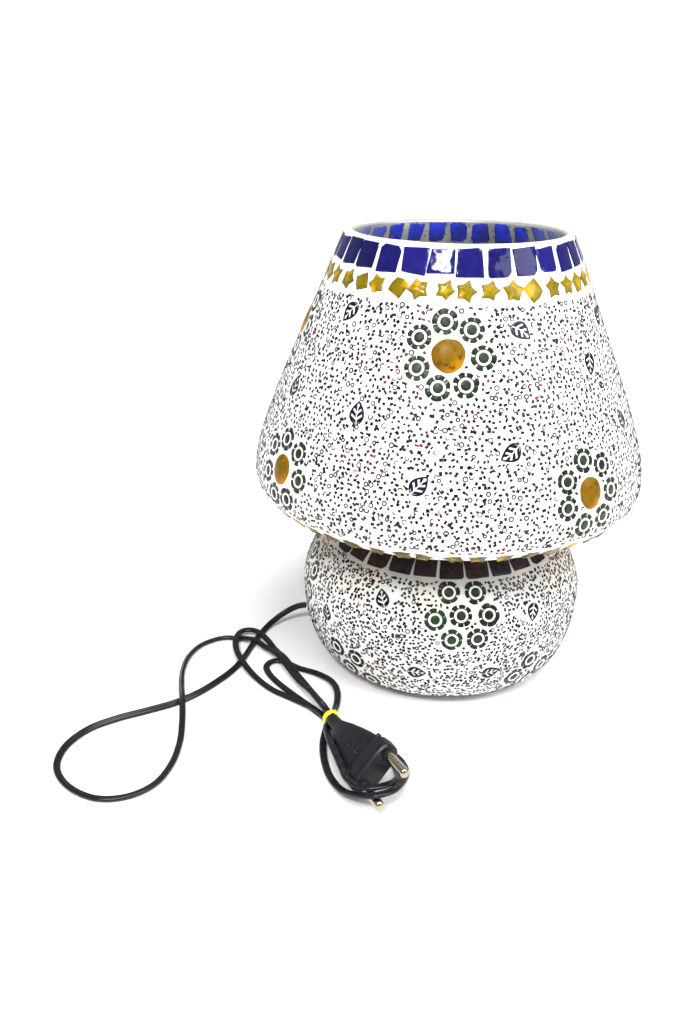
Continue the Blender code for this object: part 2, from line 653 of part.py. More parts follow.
def plug_frame():
    """The plug's own axes: along to the pins, across from one pin to the other, and out of its broad face."""
    along = (PLUG_FRONT - PLUG_TAIL).normalized()
    level = Vector((along.y, -along.x, 0)).normalized()
    across = level * math.cos(PLUG_TILT) - Vector((0, 0, 1)) * math.sin(PLUG_TILT)
    across = (across - along * across.dot(along)).normalized()
    face = across.cross(along).normalized()
    return along, across, face


def plug():
    along, across, face = plug_frame()
    length = (PLUG_FRONT - PLUG_TAIL).length
    # (share of the length, width, thickness) from the tail to the flat front
    stages = [(0.0, 0.0062, 0.0056), (0.18, 0.0080, 0.0070), (0.30, 0.0130, 0.0095), (0.62, 0.0225, 0.0115)]
    stages += [(0.84, 0.0262, 0.0120), (0.86, PLUG_WIDTH, PLUG_THICKNESS), (1.0, PLUG_WIDTH, PLUG_THICKNESS)]
    sections = []
    for share, width, thickness in stages:
        middle = PLUG_TAIL + along * (length * share)
        ring = []
        for t in (2 * math.pi * i / 16 for i in range(16)):
            x = math.copysign(abs(math.cos(t)) ** 0.62, math.cos(t)) * width / 2
            y = math.copysign(abs(math.sin(t)) ** 0.62, math.sin(t)) * thickness / 2
            ring.append(middle + across * x + face * y)
        sections.append(ring)
    place("plug_body", loft("plug_body", sections), (0.012, 0.012, 0.013), 0.4)
    rounding = 0.0012
    pin = [(0, 0), (PIN_RADIUS, 0), (PIN_RADIUS, PIN_LENGTH - rounding)]
    pin += [(PIN_RADIUS - rounding, PIN_LENGTH), (0, PIN_LENGTH)]
    for number, side in enumerate((-1, 1), 1):
        mesh = lathe(f"plug_pin_{number}", pin, 12)
        root = PLUG_FRONT + across * (side * PIN_SPACING / 2) + along * GAP
        mesh.transform(at(root, along))
        place(f"plug_pin_{number}", mesh, (0.62, 0.60, 0.55), 0.25, 1.0)


def main():
    clear_scene()
    glass_and_coats()
    mosaic_bands()
    gems()
    base_and_clamp()
    holder()
    bulb()
    cord_inlet()
    cord()
    tie()
    plug()


main()
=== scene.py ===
"""The looks of the mosaic glass table lamp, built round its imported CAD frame.

Metres, +Z up, the lamp's axis on the world's Z axis and its front at -Y. A turn is an angle round the
lamp from its front towards +X. A length along is measured up the outside of the wall from the foot."""

import math

import bmesh
import bpy
import numpy as np
from mathutils import Matrix, Vector


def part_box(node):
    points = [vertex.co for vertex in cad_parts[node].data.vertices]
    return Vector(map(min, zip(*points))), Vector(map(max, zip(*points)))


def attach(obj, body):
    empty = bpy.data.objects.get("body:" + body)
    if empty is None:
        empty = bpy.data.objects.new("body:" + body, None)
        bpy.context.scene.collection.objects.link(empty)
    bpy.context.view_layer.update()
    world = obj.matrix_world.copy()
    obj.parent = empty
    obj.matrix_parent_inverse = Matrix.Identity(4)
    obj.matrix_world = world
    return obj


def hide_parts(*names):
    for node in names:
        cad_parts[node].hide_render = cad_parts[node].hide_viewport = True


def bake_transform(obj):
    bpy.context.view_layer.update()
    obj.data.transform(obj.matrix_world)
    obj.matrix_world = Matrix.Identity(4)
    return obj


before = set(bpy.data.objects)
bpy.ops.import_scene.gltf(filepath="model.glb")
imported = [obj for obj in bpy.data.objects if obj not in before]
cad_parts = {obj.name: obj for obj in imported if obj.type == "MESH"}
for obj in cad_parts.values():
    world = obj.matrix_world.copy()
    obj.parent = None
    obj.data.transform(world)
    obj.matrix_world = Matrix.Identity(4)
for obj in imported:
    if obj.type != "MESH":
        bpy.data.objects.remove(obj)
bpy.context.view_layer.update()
rng = np.random.default_rng(11)

MM = 0.001
LAMP, BULB, TONGUE = "lamp", "bulb", "tongue"

# ---------------------------------------------------------------- sizes, from the frame
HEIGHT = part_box("glass_body")[1].z
RIM_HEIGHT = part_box("shade_grout")[1].z
SHADE_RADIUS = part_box("shade_grout")[1].x
POT_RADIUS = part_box("pot_grout")[1].x
FOOT_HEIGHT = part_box("pot_grout")[0].z
SHADE_HEIGHT, POT_HEIGHT = 0.120, 0.050
FOOT_RADIUS, RIM_RADIUS = 0.0565, 0.0600
NECK_RADIUS, NECK_HEIGHT = 0.0570, 0.0930
NECK_ROOT = (0.046, 0.0945)
SHOULDER = 0.17
COAT, GAP, GLASS = 3.0 * MM, 0.3 * MM, 2.7 * MM
# The cement lies this far inside the CAD's outline, so that what stands on it stays within.
BACK_OFF = 0.30 * MM


# ---------------------------------------------------------------- camera
def add_camera():
    """The photograph's viewpoint: near, a little above the rim, and turned slightly to the cord's side."""
    yaw, pitch, roll = math.radians(-6.4), math.radians(23.8), math.radians(0.7)
    forward = Vector((math.sin(yaw) * math.cos(pitch), math.cos(yaw) * math.cos(pitch), -math.sin(pitch)))
    level = Vector((math.cos(yaw), -math.sin(yaw), 0))
    upright = level.cross(forward)
    right = level * math.cos(roll) + upright * math.sin(roll)
    up = upright * math.cos(roll) - level * math.sin(roll)
    data = bpy.data.cameras.new("camera")
    data.lens = 32.5
    data.sensor_width = 36
    data.clip_start = 0.02
    camera = bpy.data.objects.new("camera", data)
    bpy.context.scene.collection.objects.link(camera)
    turn = Matrix((right, up, -forward)).transposed().to_4x4()
    camera.matrix_world = Matrix.Translation((0, -0.504, 0.3085)) @ turn
    bpy.context.scene.camera = camera


add_camera()


# ---------------------------------------------------------------- material helpers
class Paint:
    """A material under construction: its node tree, its shader and object coordinates."""

    def __init__(self, name, roughness=0.5, metallic=0.0, **uniform):
        self.material = bpy.data.materials.new(name)
        self.material.use_nodes = True
        self.tree = self.material.node_tree
        self.shader = self.tree.nodes["Principled BSDF"]
        self.set(Roughness=roughness, Metallic=metallic, **uniform)
        self.coordinates = self.node("ShaderNodeTexCoord").outputs["Object"]

    def set(self, **values):
        for name, value in values.items():
            self.shader.inputs[name.replace("_", " ")].default_value = value

    def node(self, kind, **settings):
        made = self.tree.nodes.new(kind)
        for name, value in settings.items():
            setattr(made, name, value)
        return made

    def link(self, source, target):
        self.tree.links.new(source, target)

    def into(self, source, name):
        self.link(source, self.shader.inputs[name])

    def noise(self, scale, detail=3.0, roughness=0.5):
        made = self.node("ShaderNodeTexNoise")
        made.inputs["Scale"].default_value = scale
        made.inputs["Detail"].default_value = detail
        made.inputs["Roughness"].default_value = roughness
        self.link(self.coordinates, made.inputs["Vector"])
        return made.outputs["Fac"]

    def cells(self, scale):
        made = self.node("ShaderNodeTexVoronoi")
        made.inputs["Scale"].default_value = scale
        self.link(self.coordinates, made.inputs["Vector"])
        return made.outputs["Distance"]

    def tone(self):
        """The colour given to each piece when it was made."""
        return self.node("ShaderNodeAttribute", attribute_name="tone").outputs["Color"]

    def ramp(self, source, *stops):
        made = self.node("ShaderNodeValToRGB")
        elements = made.color_ramp.elements
        while len(elements) < len(stops):
            elements.new(0.5)
        for element, (position, colour) in zip(elements, stops):
            element.position = position
            element.color = (*colour, 1) if hasattr(colour, "__len__") else (colour, colour, colour, 1)
        self.link(source, made.inputs["Fac"])
        return made.outputs["Color"]

    def mix(self, share, a, b, blend="MIX"):
        """Blends two colours, each a socket or a colour, by a socket or a number."""
        made = self.node("ShaderNodeMix", data_type="RGBA", blend_type=blend)
        for value, socket in ((share, made.inputs[0]), (a, made.inputs[6]), (b, made.inputs[7])):
            if isinstance(value, bpy.types.NodeSocket):
                self.link(value, socket)
            elif hasattr(value, "__len__"):
                socket.default_value = (*value, 1)
            else:
                socket.default_value = value
        return made.outputs[2]

    def span(self, source, low, high, start=0.3, end=0.7):
        """Maps a pattern to a range of values."""
        made = self.node("ShaderNodeMapRange")
        settings = {"From Min": start, "From Max": end, "To Min": low, "To Max": high}
        for name, value in settings.items():
            made.inputs[name].default_value = value
        self.link(source, made.inputs["Value"])
        return made.outputs["Result"]

    def bump(self, *layers):
        """Stacks bumps, each a pattern with its height in metres."""
        normal = None
        for pattern, height in layers:
            made = self.node("ShaderNodeBump")
            made.inputs["Distance"].default_value = height
            self.link(pattern, made.inputs["Height"])
            if normal is not None:
                self.link(normal, made.inputs["Normal"])
            normal = made.outputs["Normal"]
        self.into(normal, "Normal")


def worn(name, colour, roughness, metallic=0.0, grain=900.0, spread=0.25, height=0.02 * MM, **uniform):
    """A plain finish with slight changes of shade and gloss, and a fine grain."""
    paint = Paint(name, roughness, metallic, **uniform)
    patches = paint.noise(60.0, 4.0)
    dark = tuple(c * (1 - spread) for c in colour)
    light = tuple(min(1.0, c * (1 + spread)) for c in colour)
    paint.into(paint.ramp(patches, (0.3, dark), (0.7, light)), "Base Color")
    fine = paint.noise(grain, 2.0)
    paint.into(paint.span(fine, roughness * 0.8, min(1.0, roughness * 1.25)), "Roughness")
    paint.bump((fine, height))
    return paint.material


# ---------------------------------------------------------------- mesh helpers
def add_object(name, mesh, material, body=LAMP, smooth=True):
    mesh.materials.append(material)
    made = bpy.data.objects.new(name, mesh)
    bpy.context.scene.collection.objects.link(made)
    if smooth:
        mesh.shade_smooth()
        mesh.set_sharp_from_angle(angle=math.radians(38))
    if body:
        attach(made, body)
    return made


class Pieces:
    """Collects many small solids into one mesh, each with a colour of its own."""

    def __init__(self):
        self.points, self.faces, self.tones, self.count = [], [], [], 0

    def add(self, points, faces, tone):
        base = self.count
        self.points.append(points)
        self.faces += [[base + i for i in face] for face in faces]
        tone = np.broadcast_to(np.asarray(tone, float), (len(points), 3))
        self.tones.append(np.hstack([tone, np.ones((len(points), 1))]))
        self.count += len(points)

    def make(self, name, material, smooth=True):
        mesh = bpy.data.meshes.new(name)
        mesh.from_pydata(np.concatenate(self.points).tolist(), [], self.faces)
        tone = mesh.attributes.new("tone", "FLOAT_COLOR", "POINT")
        tone.data.foreach_set("color", np.concatenate(self.tones).astype(np.float32).ravel())
        return add_object(name, mesh, material, smooth=smooth)


def grid_faces(rows, columns, closed_rows=False, closed_columns=True):
    """Quads between the points of a grid whose rows follow one another in the list."""
    faces = []
    for i in range(rows if closed_rows else rows - 1):
        for j in range(columns if closed_columns else columns - 1):
            a, b = i * columns + j, i * columns + (j + 1) % columns
            step = columns if i < rows - 1 else -i * columns
            faces.append((a, b, b + step, a + step))
    return faces


def lathe(name, outline, material, body=LAMP, segments=96, ripple=None):
    """Turns an outline of (radius, height) about Z, closed into a ring where it starts off the axis."""
    outline = np.array(outline, float)
    turns = np.linspace(0, 2 * math.pi, segments, endpoint=False)
    radius = np.repeat(outline[:, :1], segments, axis=1)
    height = np.repeat(outline[:, 1:], segments, axis=1)
    if ripple:
        radius, height = ripple(radius, height, turns)
    points = np.stack([radius * np.cos(turns), radius * np.sin(turns), height], -1).reshape(-1, 3)
    mesh = bpy.data.meshes.new(name)
    mesh.from_pydata(points.tolist(), [], grid_faces(len(outline), segments, closed_rows=outline[0, 0] > 0))
    tidy(mesh)
    return add_object(name, mesh, material, body)


def tidy(mesh):
    """Merges points that coincide, as on the axis, and turns the faces outwards."""
    bm = bmesh.new()
    bm.from_mesh(mesh)
    bmesh.ops.remove_doubles(bm, verts=bm.verts, dist=1e-6)
    bmesh.ops.recalc_face_normals(bm, faces=bm.faces)
    bm.to_mesh(mesh)
    bm.free()


def softened(corners, cut, points=3):
    """A polygon whose corners are rounded off over so much of each side."""
    corners = [np.array(c, float) for c in corners]
    soft = []
    for before, corner, after in zip(corners[-1:] + corners[:-1], corners, corners[1:] + corners[:1]):
        start = corner + (before - corner) * min(0.45, cut / np.linalg.norm(before - corner))
        end = corner + (after - corner) * min(0.45, cut / np.linalg.norm(after - corner))
        for t in np.linspace(0, 1, points):
            soft.append(start * (1 - t) ** 2 + 2 * corner * t * (1 - t) + end * t**2)
    return np.array(soft)


def smooth_curve(points, step):
    """A smooth curve through the points, read at even steps."""
    points = np.array(points, float)
    padded = np.vstack([2 * points[0] - points[1], points, 2 * points[-1] - points[-2]])
    dense = []
    for p, a, b, q in zip(padded, padded[1:], padded[2:], padded[3:]):
        t = np.linspace(0, 1, 24, endpoint=False)[:, None]
        dense.append(
            0.5
            * (2 * a + (b - p) * t + (2 * p - 5 * a + 4 * b - q) * t**2 + (3 * a - p - 3 * b + q) * t**3)
        )
    dense = np.vstack([*dense, points[-1:]])
    run = np.concatenate([[0], np.cumsum(np.linalg.norm(np.diff(dense, axis=0), axis=1))])
    even = np.linspace(0, run[-1], max(2, round(run[-1] / step)))
    return np.stack([np.interp(even, run, dense[:, k]) for k in range(3)], -1)


def sweep(points, section, roll):
    """Carries a section along a line, rolled at each point from having its second direction up."""
    tangents = np.gradient(points, axis=0)
    tangents /= np.linalg.norm(tangents, axis=1, keepdims=True)
    across = np.cross(tangents, (0.0, 0.0, 1.0))
    strength = np.linalg.norm(across, axis=1)
    for i in range(1, len(across)):
        if strength[i] < 0.25:
            across[i] = across[i - 1]
    for _ in range(12):
        across[1:-1] = (across[:-2] + 2 * across[1:-1] + across[2:]) / 4
    across -= tangents * np.sum(across * tangents, axis=1, keepdims=True)
    across /= np.linalg.norm(across, axis=1, keepdims=True)
    upward = np.cross(across, tangents)
    cos, sin = np.cos(roll)[:, None], np.sin(roll)[:, None]
    across, upward = across * cos + upward * sin, upward * cos - across * sin
    rings = points[:, None] + section[None, :, :1] * across[:, None] + section[None, :, 1:] * upward[:, None]
    faces = grid_faces(len(points), len(section))
    count = len(section)
    faces.append(tuple(range(count))[::-1])
    faces.append(tuple(range((len(points) - 1) * count, len(points) * count)))
    return rings.reshape(-1, 3), faces


# ---------------------------------------------------------------- the cord's and plug's finishes
def cord_black():
    """Satin black PVC with dust and faint scuffs."""
    paint = Paint("cord_black", 0.28, Specular_IOR_Level=0.3)
    scuffs = paint.noise(260.0, 5.0, 0.65)
    black = paint.ramp(scuffs, (0.35, (0.0045, 0.005, 0.0075)), (0.8, (0.012, 0.013, 0.018)))
    paint.into(black, "Base Color")
    paint.into(paint.span(paint.noise(90.0, 3.0), 0.2, 0.36), "Roughness")
    paint.bump((paint.noise(700.0, 2.0), 0.03 * MM))
    return paint.material


def plug_black():
    """Moulded PVC, a little greyer and duller than the cord."""
    paint = Paint("plug_black", 0.42, Specular_IOR_Level=0.3)
    patches = paint.noise(120.0, 5.0, 0.6)
    black = paint.ramp(patches, (0.3, (0.0045, 0.005, 0.007)), (0.75, (0.0095, 0.0105, 0.014)))
    paint.into(black, "Base Color")
    paint.into(paint.span(patches, 0.34, 0.56), "Roughness")
    paint.bump((paint.noise(1500.0, 2.0), 0.04 * MM))
    return paint.material


CORD_BLACK = cord_black()
PLUG_BLACK = plug_black()

# ---------------------------------------------------------------- cord and plug
CORD_WIDTH, CORD_THICK = 3.8 * MM, 2.2 * MM
# How the flat cord twists: (metres along it, degrees from lying flat)
CORD_ROLL = [
    (0.0, 62),
    (0.05, 66),
    (0.11, 60),
    (0.18, 38),
    (0.25, 12),
    (0.31, 24),
    (0.37, 46),
    (0.41, 20),
    (0.45, 4),
    (0.52, 14),
    (0.58, 0),
    (2.0, 0),
]
HOLE_TURN, HOLE_HEIGHT = math.radians(173), 0.013
PLUG_TAIL = np.array((-0.0526, -0.0988, 0.0075))
PLUG_FRONT = np.array((-0.0245, -0.1456, 0.0133))
PLUG_TILT = math.radians(46)
PIN_SPACING, PIN_LENGTH, PIN_RADIUS = 0.019, 0.0180, 0.0025
TIE_MIDDLE = np.array((-0.0535, -0.0952, 0.0043))

# Millimetres. Where the cord's middle runs: from the grommet round the wide turn, then through the tie
# and back for each loop of the hank, and at last into the plug. A strand on the table lies at FLAT.
FLAT = 1.2
WIDE_TURN = [
    (-83.4, 10.2, 13.0),
    (-90.5, 9.5, 11.0),
    (-98.5, 7.0, 6.6),
    (-105.5, 0.5, 2.6),
    (-109.5, -10.0, FLAT),
    (-112.0, -23.0, FLAT),
    (-114.0, -38.0, FLAT),
    (-117.5, -52.0, FLAT),
    (-124.0, -65.5, FLAT),
    (-132.0, -78.0, FLAT),
    (-142.0, -88.5, FLAT),
    (-155.0, -97.5, FLAT),
    (-169.0, -106.5, FLAT),
    (-181.0, -117.5, FLAT),
    (-187.5, -133.0, FLAT),
    (-185.6, -149.0, FLAT),
    (-175.0, -161.5, FLAT),
    (-159.0, -168.2, FLAT),
    (-144.0, -165.4, FLAT),
    (-133.2, -155.0, FLAT),
    (-129.2, -139.0, FLAT),
    (-130.0, -121.0, FLAT),
    (-133.5, -104.0, 2.6),
    (-138.0, -88.0, 3.9),
    (-142.8, -73.0, 2.2),
    (-147.0, -56.0, FLAT),
    (-147.5, -40.0, FLAT),
    (-143.0, -26.5, FLAT),
    (-133.0, -17.5, FLAT),
    (-123.0, -16.8, 1.6),
    (-112.0, -20.5, 3.8),
    (-103.0, -26.5, 2.6),
    (-95.5, -33.5, 3.6),
    (-88.5, -43.0, 3.6),
    (-78.0, -59.0, 3.4),
    (-66.0, -75.0, 5.0),
]
OUTER_PLUG_LOOP = [
    (-55.0, -95.5, 5.1),
    (-55.2, -104.0, 3.4),
    (-55.2, -114.0, 1.7),
    (-52.8, -126.0, FLAT),
    (-48.2, -138.5, 1.6),
    (-40.8, -149.6, 3.2),
    (-31.8, -158.0, 8.4),
    (-23.3, -161.0, 11.9),
    (-15.6, -156.2, 11.7),
    (-11.2, -144.6, 8.8),
    (-10.8, -132.6, 5.0),
    (-15.0, -121.0, 2.2),
    (-24.0, -111.5, FLAT),
    (-35.0, -106.8, FLAT),
    (-44.0, -104.5, 1.6),
]
BIG_LOOP = [
    (-52.1, -93.9, 1.3),
    (-60.0, -81.5, 3.0),
    (-71.0, -65.8, 3.5),
    (-80.5, -52.0, 3.5),
    (-89.0, -38.5, 3.7),
    (-97.0, -28.0, 2.6),
    (-105.0, -17.5, 3.8),
    (-113.5, -10.2, 4.0),
    (-121.2, -11.6, 3.8),
    (-122.8, -22.0, 3.9),
    (-119.0, -35.0, 3.6),
    (-111.0, -48.5, 3.2),
    (-101.5, -59.0, 1.6),
    (-90.5, -68.5, FLAT),
    (-76.0, -76.5, FLAT),
    (-63.5, -85.0, 2.0),
]
INNER_PLUG_LOOP = [
    (-55.4, -96.1, 1.3),
    (-54.2, -106.5, 4.6),
    (-51.0, -118.6, 8.4),
    (-45.9, -131.2, 9.2),
    (-41.6, -141.4, 9.2),
    (-38.3, -149.2, 10.2),
    (-31.6, -154.8, 11.0),
    (-22.6, -155.4, 12.1),
    (-15.4, -147.5, 9.8),
    (-13.8, -134.0, 4.6),
    (-18.6, -121.5, FLAT),
    (-29.0, -113.6, FLAT),
    (-40.0, -110.6, FLAT),
    (-49.0, -104.0, 1.4),
]
SMALL_LOOP = [
    (-54.0, -95.0, 1.3),
    (-65.5, -83.0, FLAT),
    (-78.0, -71.5, FLAT),
    (-88.0, -62.0, FLAT),
    (-95.5, -53.0, FLAT),
    (-99.0, -45.0, FLAT),
    (-96.0, -38.8, FLAT),
    (-89.0, -39.0, FLAT),
    (-79.0, -44.6, 1.3),
    (-68.0, -49.2, 1.8),
    (-58.6, -56.4, 2.2),
    (-53.6, -68.0, 3.4),
    (-52.2, -81.0, 3.8),
    (-52.6, -92.0, 5.2),
]


def exit_direction():
    """Which way the cord leaves the pot."""
    return np.array((math.cos(HOLE_TURN), math.sin(HOLE_TURN), 0.0))


def plug_axes():
    """Along to the pins, across from one pin to the other, and out of the broad face."""
    along = PLUG_FRONT - PLUG_TAIL
    along /= np.linalg.norm(along)
    level = np.array((along[1], -along[0], 0.0))
    level /= np.linalg.norm(level)
    across = level * math.cos(PLUG_TILT) - np.array((0, 0, 1.0)) * math.sin(PLUG_TILT)
    across -= along * across.dot(along)
    across /= np.linalg.norm(across)
    return along, across, np.cross(across, along)


def cord_section():
    """Two round cores side by side with a shallow valley between them."""
    core = CORD_THICK / 2
    shift = (CORD_WIDTH - CORD_THICK) / 2
    turns = np.radians(np.linspace(-112, 112, 11))
    right = np.stack([shift + core * np.cos(turns), core * np.sin(turns)], -1)
    return np.vstack([right, -right])


def rounded_oblong(power, stretch, count):
    """Points of a rounded square one unit in half-width, at even steps once stretched sideways."""
    turns = np.linspace(0, 2 * math.pi, 4001)
    x = np.sign(np.cos(turns)) * np.abs(np.cos(turns)) ** power
    y = np.sign(np.sin(turns)) * np.abs(np.sin(turns)) ** power
    run = np.concatenate([[0], np.cumsum(np.hypot(np.diff(x) * stretch, np.diff(y)))])
    even = np.linspace(0, run[-1], count, endpoint=False)
    return np.interp(even, run, x), np.interp(even, run, y)


def make_plug():
    """A fan-shaped moulded plug with a raised collar at its pins, thumb dimples and a nub on its edge."""
    along, across, face = plug_axes()
    length = np.linalg.norm(PLUG_FRONT - PLUG_TAIL)
    # (share of the length, width, thickness), in millimetres
    stages = [(0, 5.2, 4.6), (0.03, 6.0, 5.4), (0.16, 7.2, 6.4), (0.26, 10.6, 8.4), (0.36, 14.4, 9.8)]
    stages += [(0.50, 18.8, 10.6), (0.64, 22.8, 11.0), (0.755, 25.0, 11.0), (0.775, 24.6, 10.4)]
    stages += [(0.81, 24.2, 10.2), (0.835, 24.8, 10.6), (0.845, 28.0, 13.0), (0.86, 29.4, 13.8)]
    stages += [(0.95, 29.2, 13.6), (0.975, 28.6, 13.0), (0.995, 26.8, 11.4)]
    stages = np.array(stages)
    shares = np.concatenate([np.linspace(0, 0.78, 120, endpoint=False), np.linspace(0.78, 0.995, 50)])
    width = np.interp(shares, stages[:, 0], stages[:, 1]) * MM / 2
    thick = np.interp(shares, stages[:, 0], stages[:, 2]) * MM / 2
    x, y = rounded_oblong(0.55, 2.0, 170)
    points = (
        PLUG_TAIL
        + along * (length * shares)[:, None, None]
        + across * (width[:, None] * x)[..., None]
        + face * (thick[:, None] * y)[..., None]
    )
    dimples = ((0.60, 0.6 * MM), (0.725, 0.5 * MM))  # (share of the length, sideways)
    for share, offset in dimples:
        centre = PLUG_TAIL + along * (length * share) + across * offset
        away = points - centre
        flat = away - face * (away @ face)[..., None]
        depth = 1.6 * MM * np.exp(-((np.linalg.norm(flat, axis=-1) / (0.85 * MM)) ** 6)) * (away @ face > 0)
        points -= face * depth[..., None]
    rows, columns = points.shape[:2]
    cloud = np.vstack([points.reshape(-1, 3), PLUG_TAIL, PLUG_FRONT - along * 0.1 * MM])
    cloud[:, 2] = np.maximum(cloud[:, 2], 0.05 * MM)  # its lower edge rests on the table
    faces = grid_faces(rows, columns)
    for j in range(columns):
        k = (j + 1) % columns
        faces.append((rows * columns, k, j))
        faces.append((rows * columns + 1, (rows - 1) * columns + j, (rows - 1) * columns + k))
    mesh = bpy.data.meshes.new("plug_moulding")
    mesh.from_pydata(cloud.tolist(), [], faces)
    tidy(mesh)
    return add_object("plug_moulding", mesh, PLUG_BLACK)


def place_on_plug(share, sideways, outwards):
    """A point a share of the way along the plug, then sideways and out of its broad face."""
    along, across, face = plug_axes()
    length = np.linalg.norm(PLUG_FRONT - PLUG_TAIL)
    return PLUG_TAIL + along * length * share + across * sideways + face * outwards


def turned_part(name, outline, start, direction, material, segments=40):
    """A turned piece whose axis starts at a point and runs in a direction."""
    made = lathe(name, outline, material, body=None, segments=segments)
    made.data.transform(Vector(direction).to_track_quat("Z", "Y").to_matrix().to_4x4())
    made.data.transform(Matrix.Translation(Vector(start)))
    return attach(made, LAMP)


def make_pins():
    along, across, _ = plug_axes()
    nickel = worn("pin_nickel", (0.44, 0.38, 0.28), 0.14, 1.0, spread=0.12)
    pins = []
    nose = 1.6 * MM
    turns = np.linspace(0, 1.5, 8)
    tip = [(PIN_RADIUS * math.cos(t), PIN_LENGTH - nose + nose * math.sin(t)) for t in turns]
    outline = [(0, -0.3 * MM), (PIN_RADIUS, -0.3 * MM), *tip, (0, PIN_LENGTH)]
    foot_radius = PIN_RADIUS + 0.8 * MM
    foot = [(0, -1.0 * MM), (foot_radius, -1.0 * MM), (foot_radius, 0.5 * MM)]
    foot += [(PIN_RADIUS + 0.3 * MM, 1.4 * MM), (0, 1.4 * MM)]
    for number, side in enumerate((-1, 1), 1):
        root = PLUG_FRONT + across * (side * PIN_SPACING / 2)
        pin = turned_part(f"pin_{number}", outline, root, along, nickel)
        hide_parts(f"plug_pin_{number}")
        pins += [pin, turned_part(f"pin_foot_{number}", foot, root, along, PLUG_BLACK)]
    return pins


def make_nub():
    """The nub on the plug's edge."""
    across = plug_axes()[1]
    nub = [(0, 0), (1.5 * MM, 0), (1.4 * MM, 1.5 * MM), (1.0 * MM, 2.0 * MM), (0, 2.0 * MM)]
    return turned_part("plug_nub", nub, place_on_plug(0.74, -11.6 * MM, 0.5 * MM), -across, PLUG_BLACK, 20)


def make_cord():
    step = 1.4 * MM
    route = WIDE_TURN + OUTER_PLUG_LOOP + BIG_LOOP + INNER_PLUG_LOOP + SMALL_LOOP
    route = [*route, tuple(PLUG_TAIL / MM + plug_axes()[0])]
    line = smooth_curve(np.array(route) * MM, step)
    run = np.arange(len(line)) * step
    at_tie = np.exp(-((np.hypot(*(line[:, :2] - TIE_MIDDLE[:2]).T) / (13 * MM)) ** 2))
    roll = np.radians(np.interp(run, *zip(*CORD_ROLL)) + 80 * at_tie)
    stands = (CORD_WIDTH - CORD_THICK) / 2 * np.abs(np.sin(roll))
    line[:, 2] = np.maximum(line[:, 2], CORD_THICK / 2 + 0.05 * MM) + stands
    line[0] -= (0, 0, stands[0])
    points, faces = sweep(line, cord_section(), roll)
    mesh = bpy.data.meshes.new("mains_cord")
    mesh.from_pydata(points.tolist(), [], faces)
    made = add_object("mains_cord", mesh, CORD_BLACK)
    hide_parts("cord_lead", "cord_hank", "cord_hank_loop", "cord_plug_loop")
    return made, line


def make_tie():
    """A yellow band drawn tight round the strands."""
    axis = np.array((0.494, -0.871, 0.0))
    side = np.array((0.871, 0.494, 0.0))
    half_width, half_height = 3.5 * MM, 4.0 * MM
    around = 64
    turns = np.linspace(0, 2 * math.pi, around, endpoint=False)
    x = half_width * np.sign(np.cos(turns)) * np.abs(np.cos(turns)) ** 0.7
    z = half_height * np.sign(np.sin(turns)) * np.abs(np.sin(turns)) ** 0.7
    sway = 0.25 * MM * np.sin(3 * turns + 0.6)
    profile = [(-1.4, 0.0), (-1.5, 0.35), (-1.2, 0.75), (0, 0.9), (1.2, 0.75), (1.5, 0.35), (1.4, 0.0)]
    rings = []
    for along, out in profile:
        grow_x, grow_z = x * (1 + out * MM / half_width), z * (1 + out * MM / half_height)
        ring = TIE_MIDDLE + axis * (along * MM + sway)[:, None] + side * grow_x[:, None]
        ring[:, 2] = np.maximum(ring[:, 2] + grow_z, 0.1 * MM)
        rings.append(ring)
    points = np.stack(rings).reshape(-1, 3)
    mesh = bpy.data.meshes.new("yellow_tie")
    mesh.from_pydata(points.tolist(), [], grid_faces(len(profile), around, closed_rows=True))
    tidy(mesh)
    paint = worn("tie_yellow", (0.92, 0.74, 0.02), 0.38, spread=0.1, Subsurface_Weight=0.1)
    tie = add_object("yellow_tie", mesh, paint)
    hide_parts("cord_tie")
    return tie


def make_grommet():
    """The rubber sleeve in the pot's wall, with a short tapered nose ribbed to bend."""
    out = exit_direction()
    wall = COAT + GAP + GLASS
    nose = 7.2 * MM  # it stands this far out of the wall
    radius = float(np.hypot(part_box("cord_grommet")[0].x, 0.009)) - nose
    bore, sleeve = CORD_WIDTH / 2 + 0.05 * MM, 3.5 * MM
    outline = [(bore, -wall - 2.5 * MM), (sleeve, -wall - 2.5 * MM), (sleeve, 1.9 * MM), (5.0 * MM, 2.1 * MM)]
    outline += [(5.2 * MM, 2.4 * MM), (5.2 * MM, 3.1 * MM), (4.9 * MM, 3.4 * MM)]
    for rib in range(3):
        start, base = 3.7 + rib * 1.15, 3.9 - rib * 0.35
        outline += [(base * MM, start * MM), ((base + 0.15) * MM, (start + 0.45) * MM)]
        outline += [((base - 0.05) * MM, (start + 0.8) * MM), ((base - 0.4) * MM, (start + 1.0) * MM)]
    outline.append((bore, nose))
    rubber = worn("grommet_rubber", (0.016, 0.016, 0.017), 0.6)
    made = turned_part("exit_grommet", outline, out * radius + np.array((0, 0, HOLE_HEIGHT)), out, rubber, 48)
    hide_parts("cord_grommet")
    return made


def cord_and_plug():
    plug = make_plug()
    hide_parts("plug_body")
    parts = [plug, make_tie(), *make_pins(), make_nub()]
    make_grommet()
    cord, line = make_cord()
    tuple(line[0])
    [tuple(p) for p in line]


cord_and_plug()


# ---------------------------------------------------------------- the lamp's outside
def quarter_turn(flat_end, steep_end, power, count):
    """From a point where the outline runs level to one where it runs upright."""
    t = np.linspace(0, math.pi / 2, count)
    across, along = np.sin(t) ** (2 / power), np.cos(t) ** (2 / power)
    radius = flat_end[0] + (steep_end[0] - flat_end[0]) * across
    return np.stack([radius, steep_end[1] + (flat_end[1] - steep_end[1]) * along], -1)


